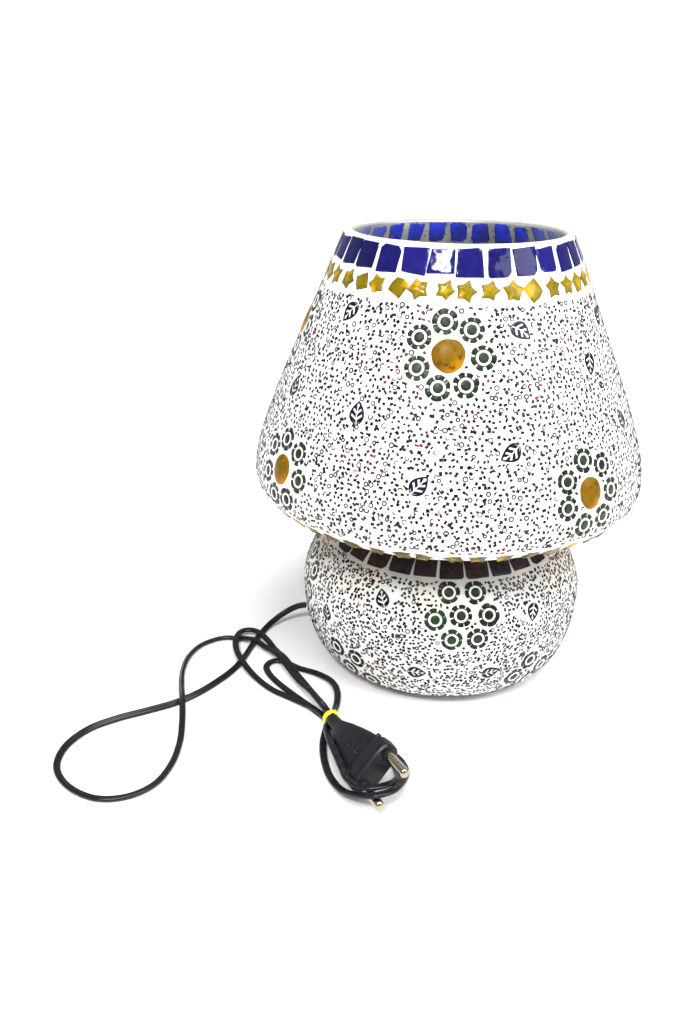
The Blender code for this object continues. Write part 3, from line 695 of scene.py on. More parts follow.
def body_outline():
    """(radius, height) up the outside, from the foot's edge to the rim."""
    count = 160
    pot_low = quarter_turn((FOOT_RADIUS, FOOT_HEIGHT), (POT_RADIUS, POT_HEIGHT), 2.4, count)
    pot_high = quarter_turn(NECK_ROOT, (POT_RADIUS, POT_HEIGHT), 1.57, count)[::-1]
    under = quarter_turn(NECK_ROOT, (SHADE_RADIUS, SHADE_HEIGHT), 2.08, count)
    pot_high = pot_high[pot_high[:, 0] > NECK_RADIUS + 0.0035]
    under = under[under[:, 0] > NECK_RADIUS + 0.0085]
    a, d = pot_high[-1], under[0]
    b = np.array((NECK_RADIUS - 0.002, NECK_HEIGHT))
    c = np.array((NECK_RADIUS, NECK_HEIGHT + 0.0022))
    t = np.linspace(0, 1, count)[:, None]
    neck = a * (1 - t) ** 3 + 3 * b * t * (1 - t) ** 2 + 3 * c * t**2 * (1 - t) + d * t**3
    u = np.linspace(0, 1, count)
    share = 1 - (np.hypot(u, SHOULDER) - SHOULDER) / (math.hypot(1, SHOULDER) - SHOULDER)
    radius = RIM_RADIUS + (SHADE_RADIUS - RIM_RADIUS) * share
    slope = np.stack([radius, SHADE_HEIGHT + (RIM_HEIGHT - SHADE_HEIGHT) * u], -1)
    return np.vstack([pot_low, pot_high[1:], neck[1:], under[1:], slope[1:]])


OUTLINE = body_outline()
ALONG = np.concatenate([[0], np.cumsum(np.linalg.norm(np.diff(OUTLINE, axis=0), axis=1))])
LENGTH = float(ALONG[-1])


def outline_normals():
    reach = 1.2 * MM
    ahead, behind = np.minimum(ALONG + reach, LENGTH), np.maximum(ALONG - reach, 0)
    run = np.stack([np.interp(ahead, ALONG, c) - np.interp(behind, ALONG, c) for c in OUTLINE.T], -1)
    run /= np.linalg.norm(run, axis=1, keepdims=True)
    return np.stack([run[:, 1], -run[:, 0]], -1)


NORMALS = outline_normals()
# Turns in one round, length of a wave up the wall, phase and depth: the unevenness of handwork.
WAVES = [(2, 0.110, 0.4, 0.16), (3, 0.060, 1.9, 0.15), (5, 0.034, 4.2, 0.12)]
WAVES += [(9, 0.017, 2.6, 0.08), (16, 0.010, 0.7, 0.06)]


def wobble(turn, along):
    waves = 0.0
    for count, wave, phase, depth in WAVES:
        waves = waves + depth * (np.sin(count * turn + along / wave + phase) - 1) / 2
    return waves * MM - BACK_OFF


def lamp_points(turn, along, out):
    """Points at a turn and a length along, so far off the wall's outside."""
    along = np.clip(along, 0, LENGTH)
    reach = out + wobble(turn, along)
    radius = np.interp(along, ALONG, OUTLINE[:, 0]) + reach * np.interp(along, ALONG, NORMALS[:, 0])
    height = np.interp(along, ALONG, OUTLINE[:, 1]) + reach * np.interp(along, ALONG, NORMALS[:, 1])
    return np.stack([radius * np.sin(turn), -radius * np.cos(turn), height], -1)


def along_at(height, part="shade"):
    """The length along at a height: on the shade above or under its widest ring, or on the pot."""
    if part == "shade":
        chosen = OUTLINE[:, 1] >= SHADE_HEIGHT
    elif part == "under":
        chosen = (OUTLINE[:, 1] > 0.0965) & (OUTLINE[:, 1] < SHADE_HEIGHT)
    else:
        chosen = OUTLINE[:, 1] <= 0.088
    return float(np.interp(height, OUTLINE[chosen, 1], ALONG[chosen]))


def radius_at(along):
    return np.interp(along, ALONG, OUTLINE[:, 0])


def patch(turn, along, spin=0.0):
    """A place on the lamp: maps (rightwards, upwards, outwards) there to points in the room."""
    cos, sin = math.cos(spin), math.sin(spin)

    def place(u, v, w):
        right, up = u * cos - v * sin, u * sin + v * cos
        return lamp_points(turn + right / radius_at(along + up), along + up, w)

    return place


def mound(pieces, place, rim, levels, tone, lean=(0.0, 0.0)):
    """A solid in rings: each level is a scale of the rim and a height, and the last closes it."""
    rim = np.asarray(rim, float)
    middle = rim.mean(0)
    rings, count = [], len(rim)
    tones = np.broadcast_to(np.asarray(tone, float), (len(levels), 3))
    tone = np.repeat(tones, [1 if scale == 0 else count for scale, _ in levels], axis=0)
    for scale, height in levels:
        ring = middle + (rim - middle) * scale
        if scale == 0:
            ring = middle[None]
        tilt = (ring - middle) @ np.array(lean) if height > 0 else 0.0
        rings.append(place(ring[:, 0], ring[:, 1], height + tilt))
    faces = grid_faces(len(levels) - 1, count)
    last = (len(levels) - 2) * count
    top = (len(levels) - 1) * count
    faces += [(last + j, last + (j + 1) % count, top) for j in range(count)]
    pieces.add(np.concatenate(rings), faces, tone)


def block_levels(rise, bevel, size, crown=0.0):
    """Levels of a flat-topped piece with a bevelled edge."""
    return [(1, -0.5 * MM), (1, rise - bevel), (1 - bevel / size, rise), (0, rise + crown)]


def ring_bead(pieces, place, radius, thick, rise, tone, around, section, arc=2 * math.pi):
    """A ring of glass, or a broken piece of one, half sunk in the cement."""
    whole = arc > 6.28
    turns = np.linspace(0, arc, around, endpoint=not whole)
    rounds = np.linspace(0, 2 * math.pi, section, endpoint=False)
    reach = radius + thick * np.cos(rounds)[None, :]
    u, v = reach * np.cos(turns)[:, None], reach * np.sin(turns)[:, None]
    w = np.repeat((rise + thick * np.sin(rounds))[None, :], around, axis=0)
    points = place(u.ravel(), v.ravel(), w.ravel())
    faces = grid_faces(around, section, closed_rows=whole)
    if not whole:
        last = (around - 1) * section
        faces += [tuple(range(section))[::-1], tuple(range(last, last + section))]
    pieces.add(points, faces, tone)


# ---------------------------------------------------------------- finishes of the glass and cement
def cement():
    """White cement: faintly blotched, with pinholes and a rough skin, and painted shade on the pot's top and
    neck under the shade's overhang.
    """
    paint = Paint("cement", 0.62)
    broad = paint.noise(45.0, 4.0, 0.6)
    fine = paint.noise(1400.0, 3.0, 0.6)
    white = paint.ramp(broad, (0.3, (0.80, 0.79, 0.76)), (0.65, (0.90, 0.90, 0.885)))
    pits = paint.ramp(paint.cells(900.0), (0.03, (0.45, 0.43, 0.40)), (0.11, (1.0, 1.0, 1.0)))
    height = paint.node("ShaderNodeSeparateXYZ")
    paint.link(paint.coordinates, height.inputs[0])
    # Painted shade: a grey to warm beige tint from the pot's top up to the shade's underside, where the
    # overhang shades the cement.
    low = paint.span(height.outputs["Z"], 0.0, 1.0, 0.056, 0.080)
    under = paint.span(height.outputs["Z"], 1.0, 0.0, 0.096, 0.104)
    painted_shade_share = paint.node("ShaderNodeMath", operation="MULTIPLY")
    paint.link(low, painted_shade_share.inputs[0])
    paint.link(under, painted_shade_share.inputs[1])
    drift = paint.ramp(paint.noise(26.0, 2.0), (0.40, (0.50, 0.51, 0.49)), (0.60, (0.66, 0.58, 0.48)))
    white = paint.mix(painted_shade_share.outputs[0], white, drift)
    paint.into(paint.mix(0.5, white, pits, "MULTIPLY"), "Base Color")
    paint.into(paint.span(fine, 0.5, 0.75), "Roughness")
    paint.bump((broad, 0.25 * MM), (paint.noise(420.0, 3.0), 0.16 * MM), (fine, 0.05 * MM))
    return paint.material


def glass_piece(name, roughness, bump_scale, bump_height, spot=None, spot_scale=0.0):
    """Opaque mosaic glass in the piece's own tone, uneven, with drifting spots of a second colour."""
    paint = Paint(name, roughness, Specular_IOR_Level=0.22)
    shades = paint.ramp(paint.noise(220.0, 4.0), (0.3, 0.72), (0.7, 1.12))
    colour = paint.mix(1.0, paint.tone(), shades, "MULTIPLY")
    if spot:
        spots = paint.ramp(paint.noise(spot_scale, 2.0), (0.52, 0.0), (0.66, 1.0))
        colour = paint.mix(spots, colour, spot)
    paint.into(colour, "Base Color")
    paint.into(paint.span(paint.noise(500.0, 3.0), roughness * 0.6, roughness * 1.7), "Roughness")
    paint.bump((paint.noise(bump_scale, 2.0, 0.5), bump_height))
    return paint.material


def amber():
    """Amber glass, with dark specks inside; the tone it carries holds a painted glow, lighter towards one
    side.
    """
    paint = Paint("amber", 0.3, Specular_IOR_Level=0.08, Subsurface_Weight=0.05)
    cloud = paint.ramp(paint.noise(150.0, 4.0), (0.3, (0.75, 0.72, 0.7)), (0.7, (1.1, 1.12, 1.1)))
    specks = paint.ramp(paint.noise(210.0, 3.0), (0.60, 0.0), (0.70, 1.0))
    body = paint.mix(1.0, paint.tone(), cloud, "MULTIPLY")
    veins = paint.ramp(paint.noise(330.0, 2.0), (0.62, 0.0), (0.74, 0.7))
    body = paint.mix(veins, body, (0.075, 0.045, 0.006))
    paint.into(paint.mix(specks, body, (0.095, 0.042, 0.005)), "Base Color")
    paint.bump((paint.noise(260.0, 2.0), 0.12 * MM))
    return paint.material


def clear_glass():
    """Blown glass with a faint green-grey cast and slight ripples."""
    paint = Paint("clear_glass", 0.04, IOR=1.48)
    streaks = paint.noise(30.0, 3.0)
    paint.into(paint.ramp(streaks, (0.3, (0.62, 0.66, 0.60)), (0.7, (0.74, 0.78, 0.73))), "Base Color")
    paint.into(paint.span(streaks, 0.02, 0.08), "Roughness")
    facing = paint.node("ShaderNodeLayerWeight").outputs["Facing"]
    paint.into(paint.span(facing, 0.04, 0.85, 0.3, 1.0), "Alpha")
    paint.bump((paint.noise(70.0, 2.0), 0.12 * MM))
    return paint.material


def inner_cement():
    """The coat's inside as it shows through the glass: greyer, with glue and the chips' dark backs."""
    paint = Paint("inner_cement", 0.6)
    patches = paint.ramp(paint.noise(90.0, 4.0), (0.3, (0.40, 0.42, 0.36)), (0.7, (0.62, 0.63, 0.57)))
    chips = paint.ramp(paint.cells(420.0), (0.16, 0.0), (0.24, 1.0))
    paint.into(paint.mix(chips, (0.07, 0.06, 0.06), patches), "Base Color")
    paint.into(paint.span(paint.noise(300.0, 3.0), 0.45, 0.7), "Roughness")
    paint.bump((paint.noise(300.0, 3.0), 0.1 * MM))
    return paint.material


# ---------------------------------------------------------------- wall: glass and cement
NECK_START = along_at(0.080, "pot")
NECK_TILES = (NECK_START - 0.6 * MM, NECK_START + 13.0 * MM, 30)
LOW_STAR_ALONG = along_at(0.1088, "under")
LOW_STARS, HIGH_STARS = 50, 38
HIGH_STAR_ALONG = LENGTH - 20.3 * MM
RIM_TILES = (LENGTH - 13.5 * MM, LENGTH - 0.1 * MM, 29)
CEMENT = cement()
INNER_CEMENT = inner_cement()


# The cement is drawn over the glass's edge: (mm inwards from the rim's outside, mm under the very top)
RIM_LIP = [(0.3, 1.0), (0.9, 0.55), (1.8, 0.25), (3.0, 0.15)]
RIM_LIP += [(4.2, 0.3), (4.9, 0.75), (5.15, 1.3), (5.0, 1.9)]


def rim_ring(turns, inwards, under):
    """One ring of the hand-drawn lip: widest at the front, and waving a little up, down, in and out."""
    wave = np.sin(5 * turns + 1.1) + np.sin(9 * turns + 2.0) + np.sin(17 * turns)
    reach = inwards * (0.77 + 0.23 * np.cos(turns))
    radius = RIM_RADIUS - (reach + 0.3 + 0.06 * wave) * MM
    height = HEIGHT - (under + 0.16 + 0.05 * wave) * MM
    return np.stack([radius * np.sin(turns), -radius * np.cos(turns), height], -1)


def coat(name, start, end, stands_for, turned_in, columns=440, pitch=1.1 * MM):
    """A cement coat: a finely uneven outside, a rounded edge at the rim or foot, and a smooth inside."""
    rows = max(8, round((end - start) / pitch))
    along = np.linspace(start, end, rows)
    turns = np.linspace(0, 2 * math.pi, columns, endpoint=False)
    grain = np.random.default_rng(5).normal(0, 0.05 * MM, (rows, columns))
    grain = (grain + np.roll(grain, 1, 0) + np.roll(grain, 1, 1)) / 2
    outside = lamp_points(turns[None, :], along[:, None], grain)
    edge = [rim_ring(turns, inwards, height) for inwards, height in RIM_LIP] if turned_in else []
    inner_rows = 40
    inside = [lamp_points(turns, np.full(columns, s), -COAT) for s in np.linspace(end, start, inner_rows)]
    rings = [*outside, *edge, *inside]
    if start == 0:
        drawn_in = np.array((0.8, 0.8, 1.0))  # the foot's edge goes on a little under the pot
        rings += [inside[-1] * drawn_in, outside[0] * drawn_in]
    points = np.concatenate(rings)
    mesh = bpy.data.meshes.new(name)
    faces = grid_faces(len(rings), columns, closed_rows=True)
    mesh.from_pydata(points.tolist(), [], faces)
    made = add_object(name, mesh, CEMENT)
    mesh.materials.append(INNER_CEMENT)
    kinds = np.zeros(len(faces), np.int32)
    first = (rows + len(edge)) * columns
    kinds[first : first + (inner_rows - 1) * columns] = 1
    mesh.polygons.foreach_set("material_index", kinds)
    tidy(mesh)
    if stands_for:
        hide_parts(stands_for)
    return made


def wall():
    coat("pot_cement", 0.0, NECK_TILES[0], "pot_grout", False)
    coat("neck_cement", NECK_TILES[0], NECK_TILES[1], None, False, columns=300, pitch=1.6 * MM)
    coat("shade_cement", NECK_TILES[1], LENGTH, "shade_grout", True)
    base = COAT + GAP + BACK_OFF
    heights = np.linspace(0, LENGTH, 150)
    outer = np.stack([np.interp(heights, ALONG, OUTLINE[:, k] - base * NORMALS[:, k]) for k in (0, 1)], -1)
    deep = base + GLASS
    heights = np.linspace(6 * MM, LENGTH, 130)[::-1]
    inner = np.stack([np.interp(heights, ALONG, OUTLINE[:, k] - deep * NORMALS[:, k]) for k in (0, 1)], -1)
    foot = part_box("glass_body")[0].z
    kick = 12.0 * MM  # the glass bottom is pushed up this far in its middle
    bottom = [(5.5 * MM, kick), (26 * MM, kick), (33 * MM, (kick + foot) / 2), (40 * MM, foot)]
    centre = (outer[-1, 0] + inner[0, 0]) / 2
    half, top = 1.3 * MM, HEIGHT - 0.45 * MM
    lip = [(centre + half * math.cos(t), top - half + half * math.sin(t)) for t in np.linspace(0.3, 2.84, 9)]
    floor = [(radius + 1 * MM, height + GLASS) for radius, height in bottom[:0:-1]]
    floor.append((bottom[0][0], kick + GLASS))
    glass = lathe("blown_glass", [*bottom, *outer, *lip, *inner, *floor], clear_glass(), segments=192)
    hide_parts("glass_body")


# ---------------------------------------------------------------- bands of tiles and stars
def jittered_tile(width, height, play):
    """A hand-cut tile: four uneven sides, and now and then a corner nipped off."""
    corners = np.array([(-0.5, -0.5), (0.5, -0.5), (0.5, 0.5), (-0.5, 0.5)]) * (width, height)
    corners += rng.uniform(-play, play, (4, 2))
    rim = []
    for before, corner, after in zip(np.roll(corners, 1, 0), corners, np.roll(corners, -1, 0)):
        nip = rng.uniform(0.8, 2.2) * MM if rng.random() < 0.3 else 0.3 * MM
        rim.append(corner + (before - corner) * nip / np.linalg.norm(before - corner))
        rim.append(corner + (after - corner) * nip / np.linalg.norm(after - corner))
        for share in (0.35, 0.68):
            rim.append(corner + (after - corner) * share + rng.uniform(-0.14, 0.14, 2) * MM)
    return softened(rim, 0.22 * MM, 2)


def tile_ring(name, band, width, play, tones, paint, node):
    """Hand-cut tiles side by side round a band, each a little crooked and with a tone of its own."""
    rise = 0.35 * MM
    low, high, count = band
    pieces = Pieces()
    middle, height = (low + high) / 2, high - low - 0.5 * MM
    for i in range(count):
        turn = 2 * math.pi * (i + 0.5 + rng.uniform(-0.05, 0.05)) / count
        rim = jittered_tile(width * rng.uniform(0.93, 1.04), height * rng.uniform(0.94, 1.03), play)
        tone = np.array(tones[rng.integers(len(tones))]) * rng.uniform(0.85, 1.2)
        levels = [(1, -0.6 * MM), (1, rise - 0.2 * MM), (0.97, rise), (0.85, rise + 0.05 * MM)]
        levels += [(0.5, rise + 0.1 * MM), (0, rise + 0.12 * MM)]
        lean = rng.uniform(-0.03, 0.03, 2)
        mound(pieces, patch(turn, middle), rim, levels, tone, lean)
    made = pieces.make(name, paint)
    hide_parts(node)


def star_rim(reach, waist, points, play):
    rim = []
    for k in range(points * 2):
        radius = (reach if k % 2 == 0 else reach * waist) * rng.uniform(1 - play, 1 + play)
        turn = math.pi * k / points
        rim.append((radius * math.sin(turn), radius * math.cos(turn)))
    return softened(rim, 0.42 * MM, 3)


def star_ring(name, along, count, reach, paint, node, shade=1.0, upright=0.0):
    """Moulded glass stars, most whole, with a few that are worn to blunt squares; their tones carry painted
    light and, by shade, painted shade.
    """
    pieces = Pieces()
    # Painted light: each star runs from dark olive at its edge to gold at its middle, and about a third glow
    # orange there.
    olive, gold = np.array((0.080, 0.068, 0.006)), np.array((0.225, 0.162, 0.003))
    painted_glow_orange = np.array((0.50, 0.27, 0.004))
    for i in range(count):
        turn = 2 * math.pi * (i + 0.5 + rng.uniform(-0.1, 0.1)) / count
        blunt = rng.random() < 0.22
        waist = rng.uniform(0.72, 0.80) if blunt else rng.uniform(0.56, 0.68)
        rim = star_rim(reach * rng.uniform(0.92, 1.06), waist, 4 if blunt and rng.random() < 0.5 else 5, 0.11)
        painted_glow = painted_glow_orange if rng.random() < 0.35 else gold
        levels = [(1, -0.6 * MM), (1, 0.1 * MM), (0.9, 0.35 * MM), (0.55, 0.5 * MM), (0, 0.6 * MM)]
        # The shade argument scales every tone: below 1 it is painted shade.
        tone = np.array([olive, olive, gold * 0.8, gold, painted_glow]) * rng.uniform(0.8, 1.15) * shade
        place = patch(turn, along + rng.uniform(-0.3, 0.3) * MM, rng.uniform(-0.5, 0.5))
        mound(pieces, place, rim, levels, tone, rng.uniform(-0.04, 0.04, 2) - (0, upright))
    made = pieces.make(name, paint)
    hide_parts(node)


def bands():
    blue = glass_piece("navy_glass", 0.08, 95.0, 0.75 * MM)
    navy = [(0.008, 0.007, 0.100), (0.011, 0.010, 0.130), (0.006, 0.006, 0.075)]
    tile_ring("rim_tiles", RIM_TILES, 12.3 * MM, 0.85 * MM, navy, blue, "rim_tile_band")
    brown = glass_piece("brown_glass", 0.2, 150.0, 0.4 * MM)
    dark = [(0.022, 0.013, 0.014), (0.030, 0.016, 0.016), (0.016, 0.012, 0.015)]
    tile_ring("neck_tiles", NECK_TILES, 12.1 * MM, 0.5 * MM, dark, brown, "neck_tile_band")
    mustard = glass_piece("mustard_glass", 0.15, 300.0, 0.5 * MM, spot=(0.56, 0.30, 0.004), spot_scale=120.0)
    star_ring("upper_stars", HIGH_STAR_ALONG, HIGH_STARS, 5.5 * MM, mustard, "upper_star_band")
    # The lower stars' tones are halved: painted shade, as under the shade's overhang.
    star_ring("lower_stars", LOW_STAR_ALONG, LOW_STARS, 5.6 * MM, mustard, "lower_star_band", 0.5, 0.2)


# ---------------------------------------------------------------- flowers, leaves and gems
GEM_RADIUS = 8.0 * MM
# A gem's amber, and the orange painted glow put on its lower right.
GEM_DARK, GEM_PAINTED_GLOW = np.array((0.190, 0.098, 0.004)), np.array((0.52, 0.22, 0.001))
DAISY_RADIUS = 6.25 * MM
# Clusters go round the shade in two staggered rows: (turn in degrees, height) of each gem.
HIGH_GEMS = [(turn, 0.2025) for turn in (-82, -1, 104, 190)]
LOW_GEMS = [(-52, 0.1360), (42, 0.1375), (133, 0.1370), (221, 0.1375)]
CLUSTER_DAISIES = 7
CLUSTER_RADIUS = 15.9 * MM
# Leaves: (turn in degrees, height, direction of the tip in degrees, anticlockwise from rightwards)
SHADE_LEAVES = [
    (-42.5, 0.2158, 235),
    (24.5, 0.2121, -35),
    (54.2, 0.1937, 250),
    (-27.7, 0.1734, 95),
    (17.8, 0.1611, 215),
    (-6.4, 0.1460, 50),
    (-60.5, 0.1751, 80),
    (74.0, 0.2120, 40),
    (66.0, 0.1640, 120),
    (92.0, 0.1500, -60),
    (117.0, 0.1960, 200),
    (139.0, 0.2140, 20),
    (150.0, 0.1720, 110),
    (171.0, 0.1500, -30),
    (196.0, 0.1640, 240),
    (214.0, 0.2080, 60),
    (236.0, 0.1740, 160),
    (252.0, 0.1450, 10),
    (256.0, 0.2130, -70),
]
POT_LEAVES = [
    (-22.2, 0.0674, 115),
    (-48.7, 0.0465, 95),
    (40.5, 0.0594, 250),
    (-6.4, 0.0278, 0),
    (22.5, 0.0280, 10),
    (74.0, 0.0330, 170),
    (97.0, 0.0640, 60),
    (138.0, 0.0360, 200),
    (171.0, 0.0620, -45),
    (205.0, 0.0300, 20),
    (246.0, 0.0640, 80),
    (272.0, 0.0260, 190),
]
POT_DAISIES = [
    (4.6, 0.0741),
    (15.8, 0.0739),
    (-0.4, 0.0610),
    (9.5, 0.0634),
    (20.5, 0.0629),
    (6.1, 0.0505),
    (15.9, 0.0507),
]
SIDE_DAISIES = [(-43.7, 0.0263), (-33.0, 0.0251), (-38.4, 0.0143), (-27.6, 0.0117)]
SIDE_DAISIES += [(41.0, 0.0288), (34.8, 0.0192), (50.0, 0.0200), (45.0, 0.0120)]
LEFT_DAISIES = [(-65.1, 0.0617), (-66.1, 0.0482), (-74.0, 0.0550), (-75.5, 0.0680)]
spots = []  # (turn, along, clear radius) of everything that the chips leave room for


def sector(inner, outer, start, end):
    """A petal's outline: a piece of a ring with its outer corners rounded off."""
    turns = np.linspace(start, end, 5)
    soft = np.array([0.96, 1.0, 1.01, 1.0, 0.96])
    rim = [(inner * math.sin(t), inner * math.cos(t)) for t in turns[::2]]
    rim += [(outer * s * math.sin(t), outer * s * math.cos(t)) for t, s in zip(turns[::-1], soft)]
    return np.array(rim)


class Flowers:
    """Daisies of green glass: a domed centre, a white enamel ring and a ring of notched petals."""

    def __init__(self):
        self.green, self.white = Pieces(), Pieces()

    def add(self, turn, along, deep, slit=0.8 * MM):
        radius = DAISY_RADIUS
        place = patch(turn, along, rng.uniform(0, 6.28))
        tone = np.array((0.0105, 0.019, 0.0085)) * rng.uniform(0.6, 1.4) * deep
        tone = tone * (1.0, 1.8, 1.0) if rng.random() < 0.12 else tone
        petals = int(rng.integers(6, 9))
        pitch = 2 * math.pi / petals
        for k in range(petals):
            half = pitch / 2 - slit / (2 * radius * 0.85) * rng.uniform(0.4, 1.9)
            middle = k * pitch + rng.uniform(-0.07, 0.07)
            outer = radius * rng.uniform(0.92, 1.04)
            rim = sector(0.62 * radius, outer, middle - half, middle + half)
            levels = block_levels(0.30 * MM, 0.10 * MM, 1.3 * MM, 0.04 * MM)
            mound(self.green, place, rim, levels, tone * rng.uniform(0.8, 1.25))
        turns = np.linspace(0, 2 * math.pi, 18, endpoint=False)
        disc = 0.395 * radius * np.stack([np.sin(turns), np.cos(turns)], -1)
        pale = tone * rng.uniform(1.0, 2.3) + rng.uniform(0.0, 0.009)
        levels = [(1, -0.4 * MM), (1, 0.22 * MM), (0.85, 0.38 * MM), (0.5, 0.46 * MM), (0, 0.48 * MM)]
        mound(self.green, place, disc, levels, np.array([tone, tone, tone, pale, pale]))
        ring_bead(self.green, place, 0.64 * radius, 0.24 * MM, 0.12 * MM, tone, 28, 6)
        ring_bead(self.white, place, 0.505 * radius, 0.52 * MM, 0.04 * MM, (0.90, 0.90, 0.88), 28, 8)
        spots.append((turn, along, radius + 0.5 * MM))


def leaf_half_width(t, width):
    """Half the width of a leaf at a share of its length, rounded at the foot and pointed at the tip."""
    return width * (np.sin(math.pi * np.clip(t, 0, 1) ** 0.75) ** 0.85)


class Leaves:
    """Leaves of navy glass, their veins left white: slanting strips inside a thin outline."""

    def __init__(self):
        self.navy = Pieces()

    def add(self, turn, along, tip, length=11.8 * MM, width=4.2 * MM):
        place = patch(turn, along, math.radians(tip) - math.pi / 2)
        tone = np.array((0.006, 0.006, 0.018)) * rng.uniform(0.8, 1.5)
        curve = rng.uniform(-1.1, 1.1) * MM
        strips, vein, slant = 3, 0.155, 0.18

        def bent(points):
            """The leaf's own shape: centred, and curved a little to one side."""
            points = np.array(points)
            t = points[:, 1]
            return np.stack([points[:, 0] + curve * np.sin(math.pi * t), (t - 0.5) * length], -1)

        for side in (-1, 1):
            for k in range(strips):
                low = 0.06 + 0.74 * k / strips
                high = low + 0.74 / strips - vein * 0.62
                inner = 0.28 * MM
                far = [t + slant for t in np.linspace(high, low, 3)]
                rim = [(side * inner, low), (side * inner, high)]
                rim += [(side * max(inner * 1.2, leaf_half_width(t, width) * 0.80), t) for t in far]
                rim = bent(rim)[:: side]
                mound(self.navy, place, rim, block_levels(0.25 * MM, 0.1 * MM, 0.9 * MM), tone)
            t = np.linspace(0.02, 1.0, 12)
            outer = leaf_half_width(t, width)
            edge = [(side * w, s) for w, s in zip(outer, t)]
            edge += [(side * max(w - 1.1 * MM, 0.02 * MM), s) for w, s in zip(outer[::-1], t[::-1])]
            mesh_strip(self.navy, place, bent(edge), tone)
        spots.append((turn, along, 5.2 * MM))


def mesh_strip(pieces, place, rim, tone):
    """A band whose outline runs up one side and back down the other."""
    count = len(rim) // 2
    outer, inner = rim[:count], rim[count:][::-1]
    rows = []
    root, rise = -0.4 * MM, 0.25 * MM
    for line, height in ((outer, root), (outer, rise), (inner, rise), (inner, root)):
        rows.append(place(line[:, 0], line[:, 1], height))
    pieces.add(np.concatenate(rows), grid_faces(4, count, closed_columns=False), tone)


def gem_mesh(number, turn, height, row, paint):
    """A low dome of amber glass, with painted light: an orange glow brightest towards its lower right."""
    pieces = Pieces()
    turns = np.linspace(0, 2 * math.pi, 40, endpoint=False)
    radius = GEM_RADIUS * (1 + 0.02 * np.sin(3 * turns + turn) + 0.012 * np.sin(7 * turns + 2 * turn))
    narrow = 1.0 if row == "high" else 0.88
    rim = np.stack([narrow * radius * np.sin(turns), radius * np.cos(turns)], -1)
    flat = (row, number) == ("high", 1)  # the gem on the lamp's left edge hardly stands out
    rise = (0.6 if flat else 1.6) * MM
    levels = [(1, -0.5 * MM), (1, 0.3 * MM)]
    levels += [(math.cos(t), 0.3 * MM + rise * math.sin(t)) for t in np.linspace(0.2, 1.45, 8)]
    levels.append((0, 0.3 * MM + rise))
    along = along_at(height)
    mound(pieces, patch(math.radians(turn), along), rim, levels, GEM_DARK)
    scales = [scale for scale, _ in levels[:-1]]
    side, lift = (np.append(np.outer(scales, rim[:, k]), 0.0) / GEM_RADIUS for k in (0, 1))
    # Painted light: the tone turns from the amber to the orange glow towards the lower right.
    painted_glow = np.clip(1.6 * (0.5 * side - 0.85 * lift) - 0.55, 0, 1)[:, None]
    pieces.tones[0][:, :3] = GEM_DARK * (1 - painted_glow) + GEM_PAINTED_GLOW * painted_glow
    made = pieces.make(f"amber_{row}_{number}", paint)
    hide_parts(f"gem_{row}_{number}")
    spots.append((math.radians(turn), along, GEM_RADIUS + 0.6 * MM))


def decorations():
    paint = amber()
    flowers, leaves = Flowers(), Leaves()
    for row, gems in (("high", HIGH_GEMS), ("low", LOW_GEMS)):
        for number, (turn, height) in enumerate(gems, 1):
            gem_mesh(number, turn, height, row, paint)
            start = -0.18 if row == "high" else -0.12
            along = along_at(height)
            for k in range(CLUSTER_DAISIES):
                angle = start + 2 * math.pi * k / CLUSTER_DAISIES + rng.uniform(-0.04, 0.04)
                away = CLUSTER_RADIUS * rng.uniform(0.98, 1.04)
                up = along + away * math.cos(angle)
                side = away * math.sin(angle) / radius_at(up)
                flowers.add(math.radians(turn) + side, up, deep=1.15)
    thirds = (0, 120, 240)
    for daisies, repeats, slit in (
        (POT_DAISIES, thirds, 0.6 * MM),
        (SIDE_DAISIES, thirds, 0.55 * MM),
        (LEFT_DAISIES, (0,), 0.55 * MM),
    ):
        for turn, height in daisies:
            for further in repeats:
                flowers.add(math.radians(turn + further), along_at(height, "pot"), deep=0.75, slit=slit)
    for turn, height, tip in SHADE_LEAVES:
        leaves.add(math.radians(turn), along_at(height), tip)
    for turn, height, tip in POT_LEAVES:
        leaves.add(math.radians(turn), along_at(height, "pot"), tip, length=10.6 * MM, width=3.9 * MM)
    flowers.green.make("daisy_glass", glass_piece("green_glass", 0.3, 400.0, 0.2 * MM))
    enamel = worn("daisy_enamel", (0.90, 0.90, 0.88), 0.35, spread=0.04)
    flowers.white.make("daisy_enamel_rings", enamel)
    leaves.navy.make("leaf_glass", glass_piece("leaf_glass", 0.22, 400.0, 0.15 * MM))


# ---------------------------------------------------------------- chips and beads in the cement
CHIP_PITCH, POT_CHIP_PITCH = 2.95 * MM, 2.65 * MM
CHIP_TONES = [
    (0.006, 0.005, 0.006),
    (0.006, 0.005, 0.006),
    (0.012, 0.006, 0.006),
    (0.022, 0.012, 0.010),
    (0.010, 0.014, 0.010),
    (0.032, 0.016, 0.014),
]
RED_TONES = [(0.17, 0.012, 0.030), (0.085, 0.008, 0.016), (0.045, 0.008, 0.012)]


def is_clear(turn, along, room):
    """Whether a place keeps clear of every flower, leaf and gem."""
    for spot_turn, spot_along, radius in spots:
        rise = along - spot_along
        if abs(rise) > radius + room:
            continue
        away = (turn - spot_turn + math.pi) % (2 * math.pi) - math.pi
        if math.hypot(away * radius_at(along), rise) < radius + room:
            return False
    return True


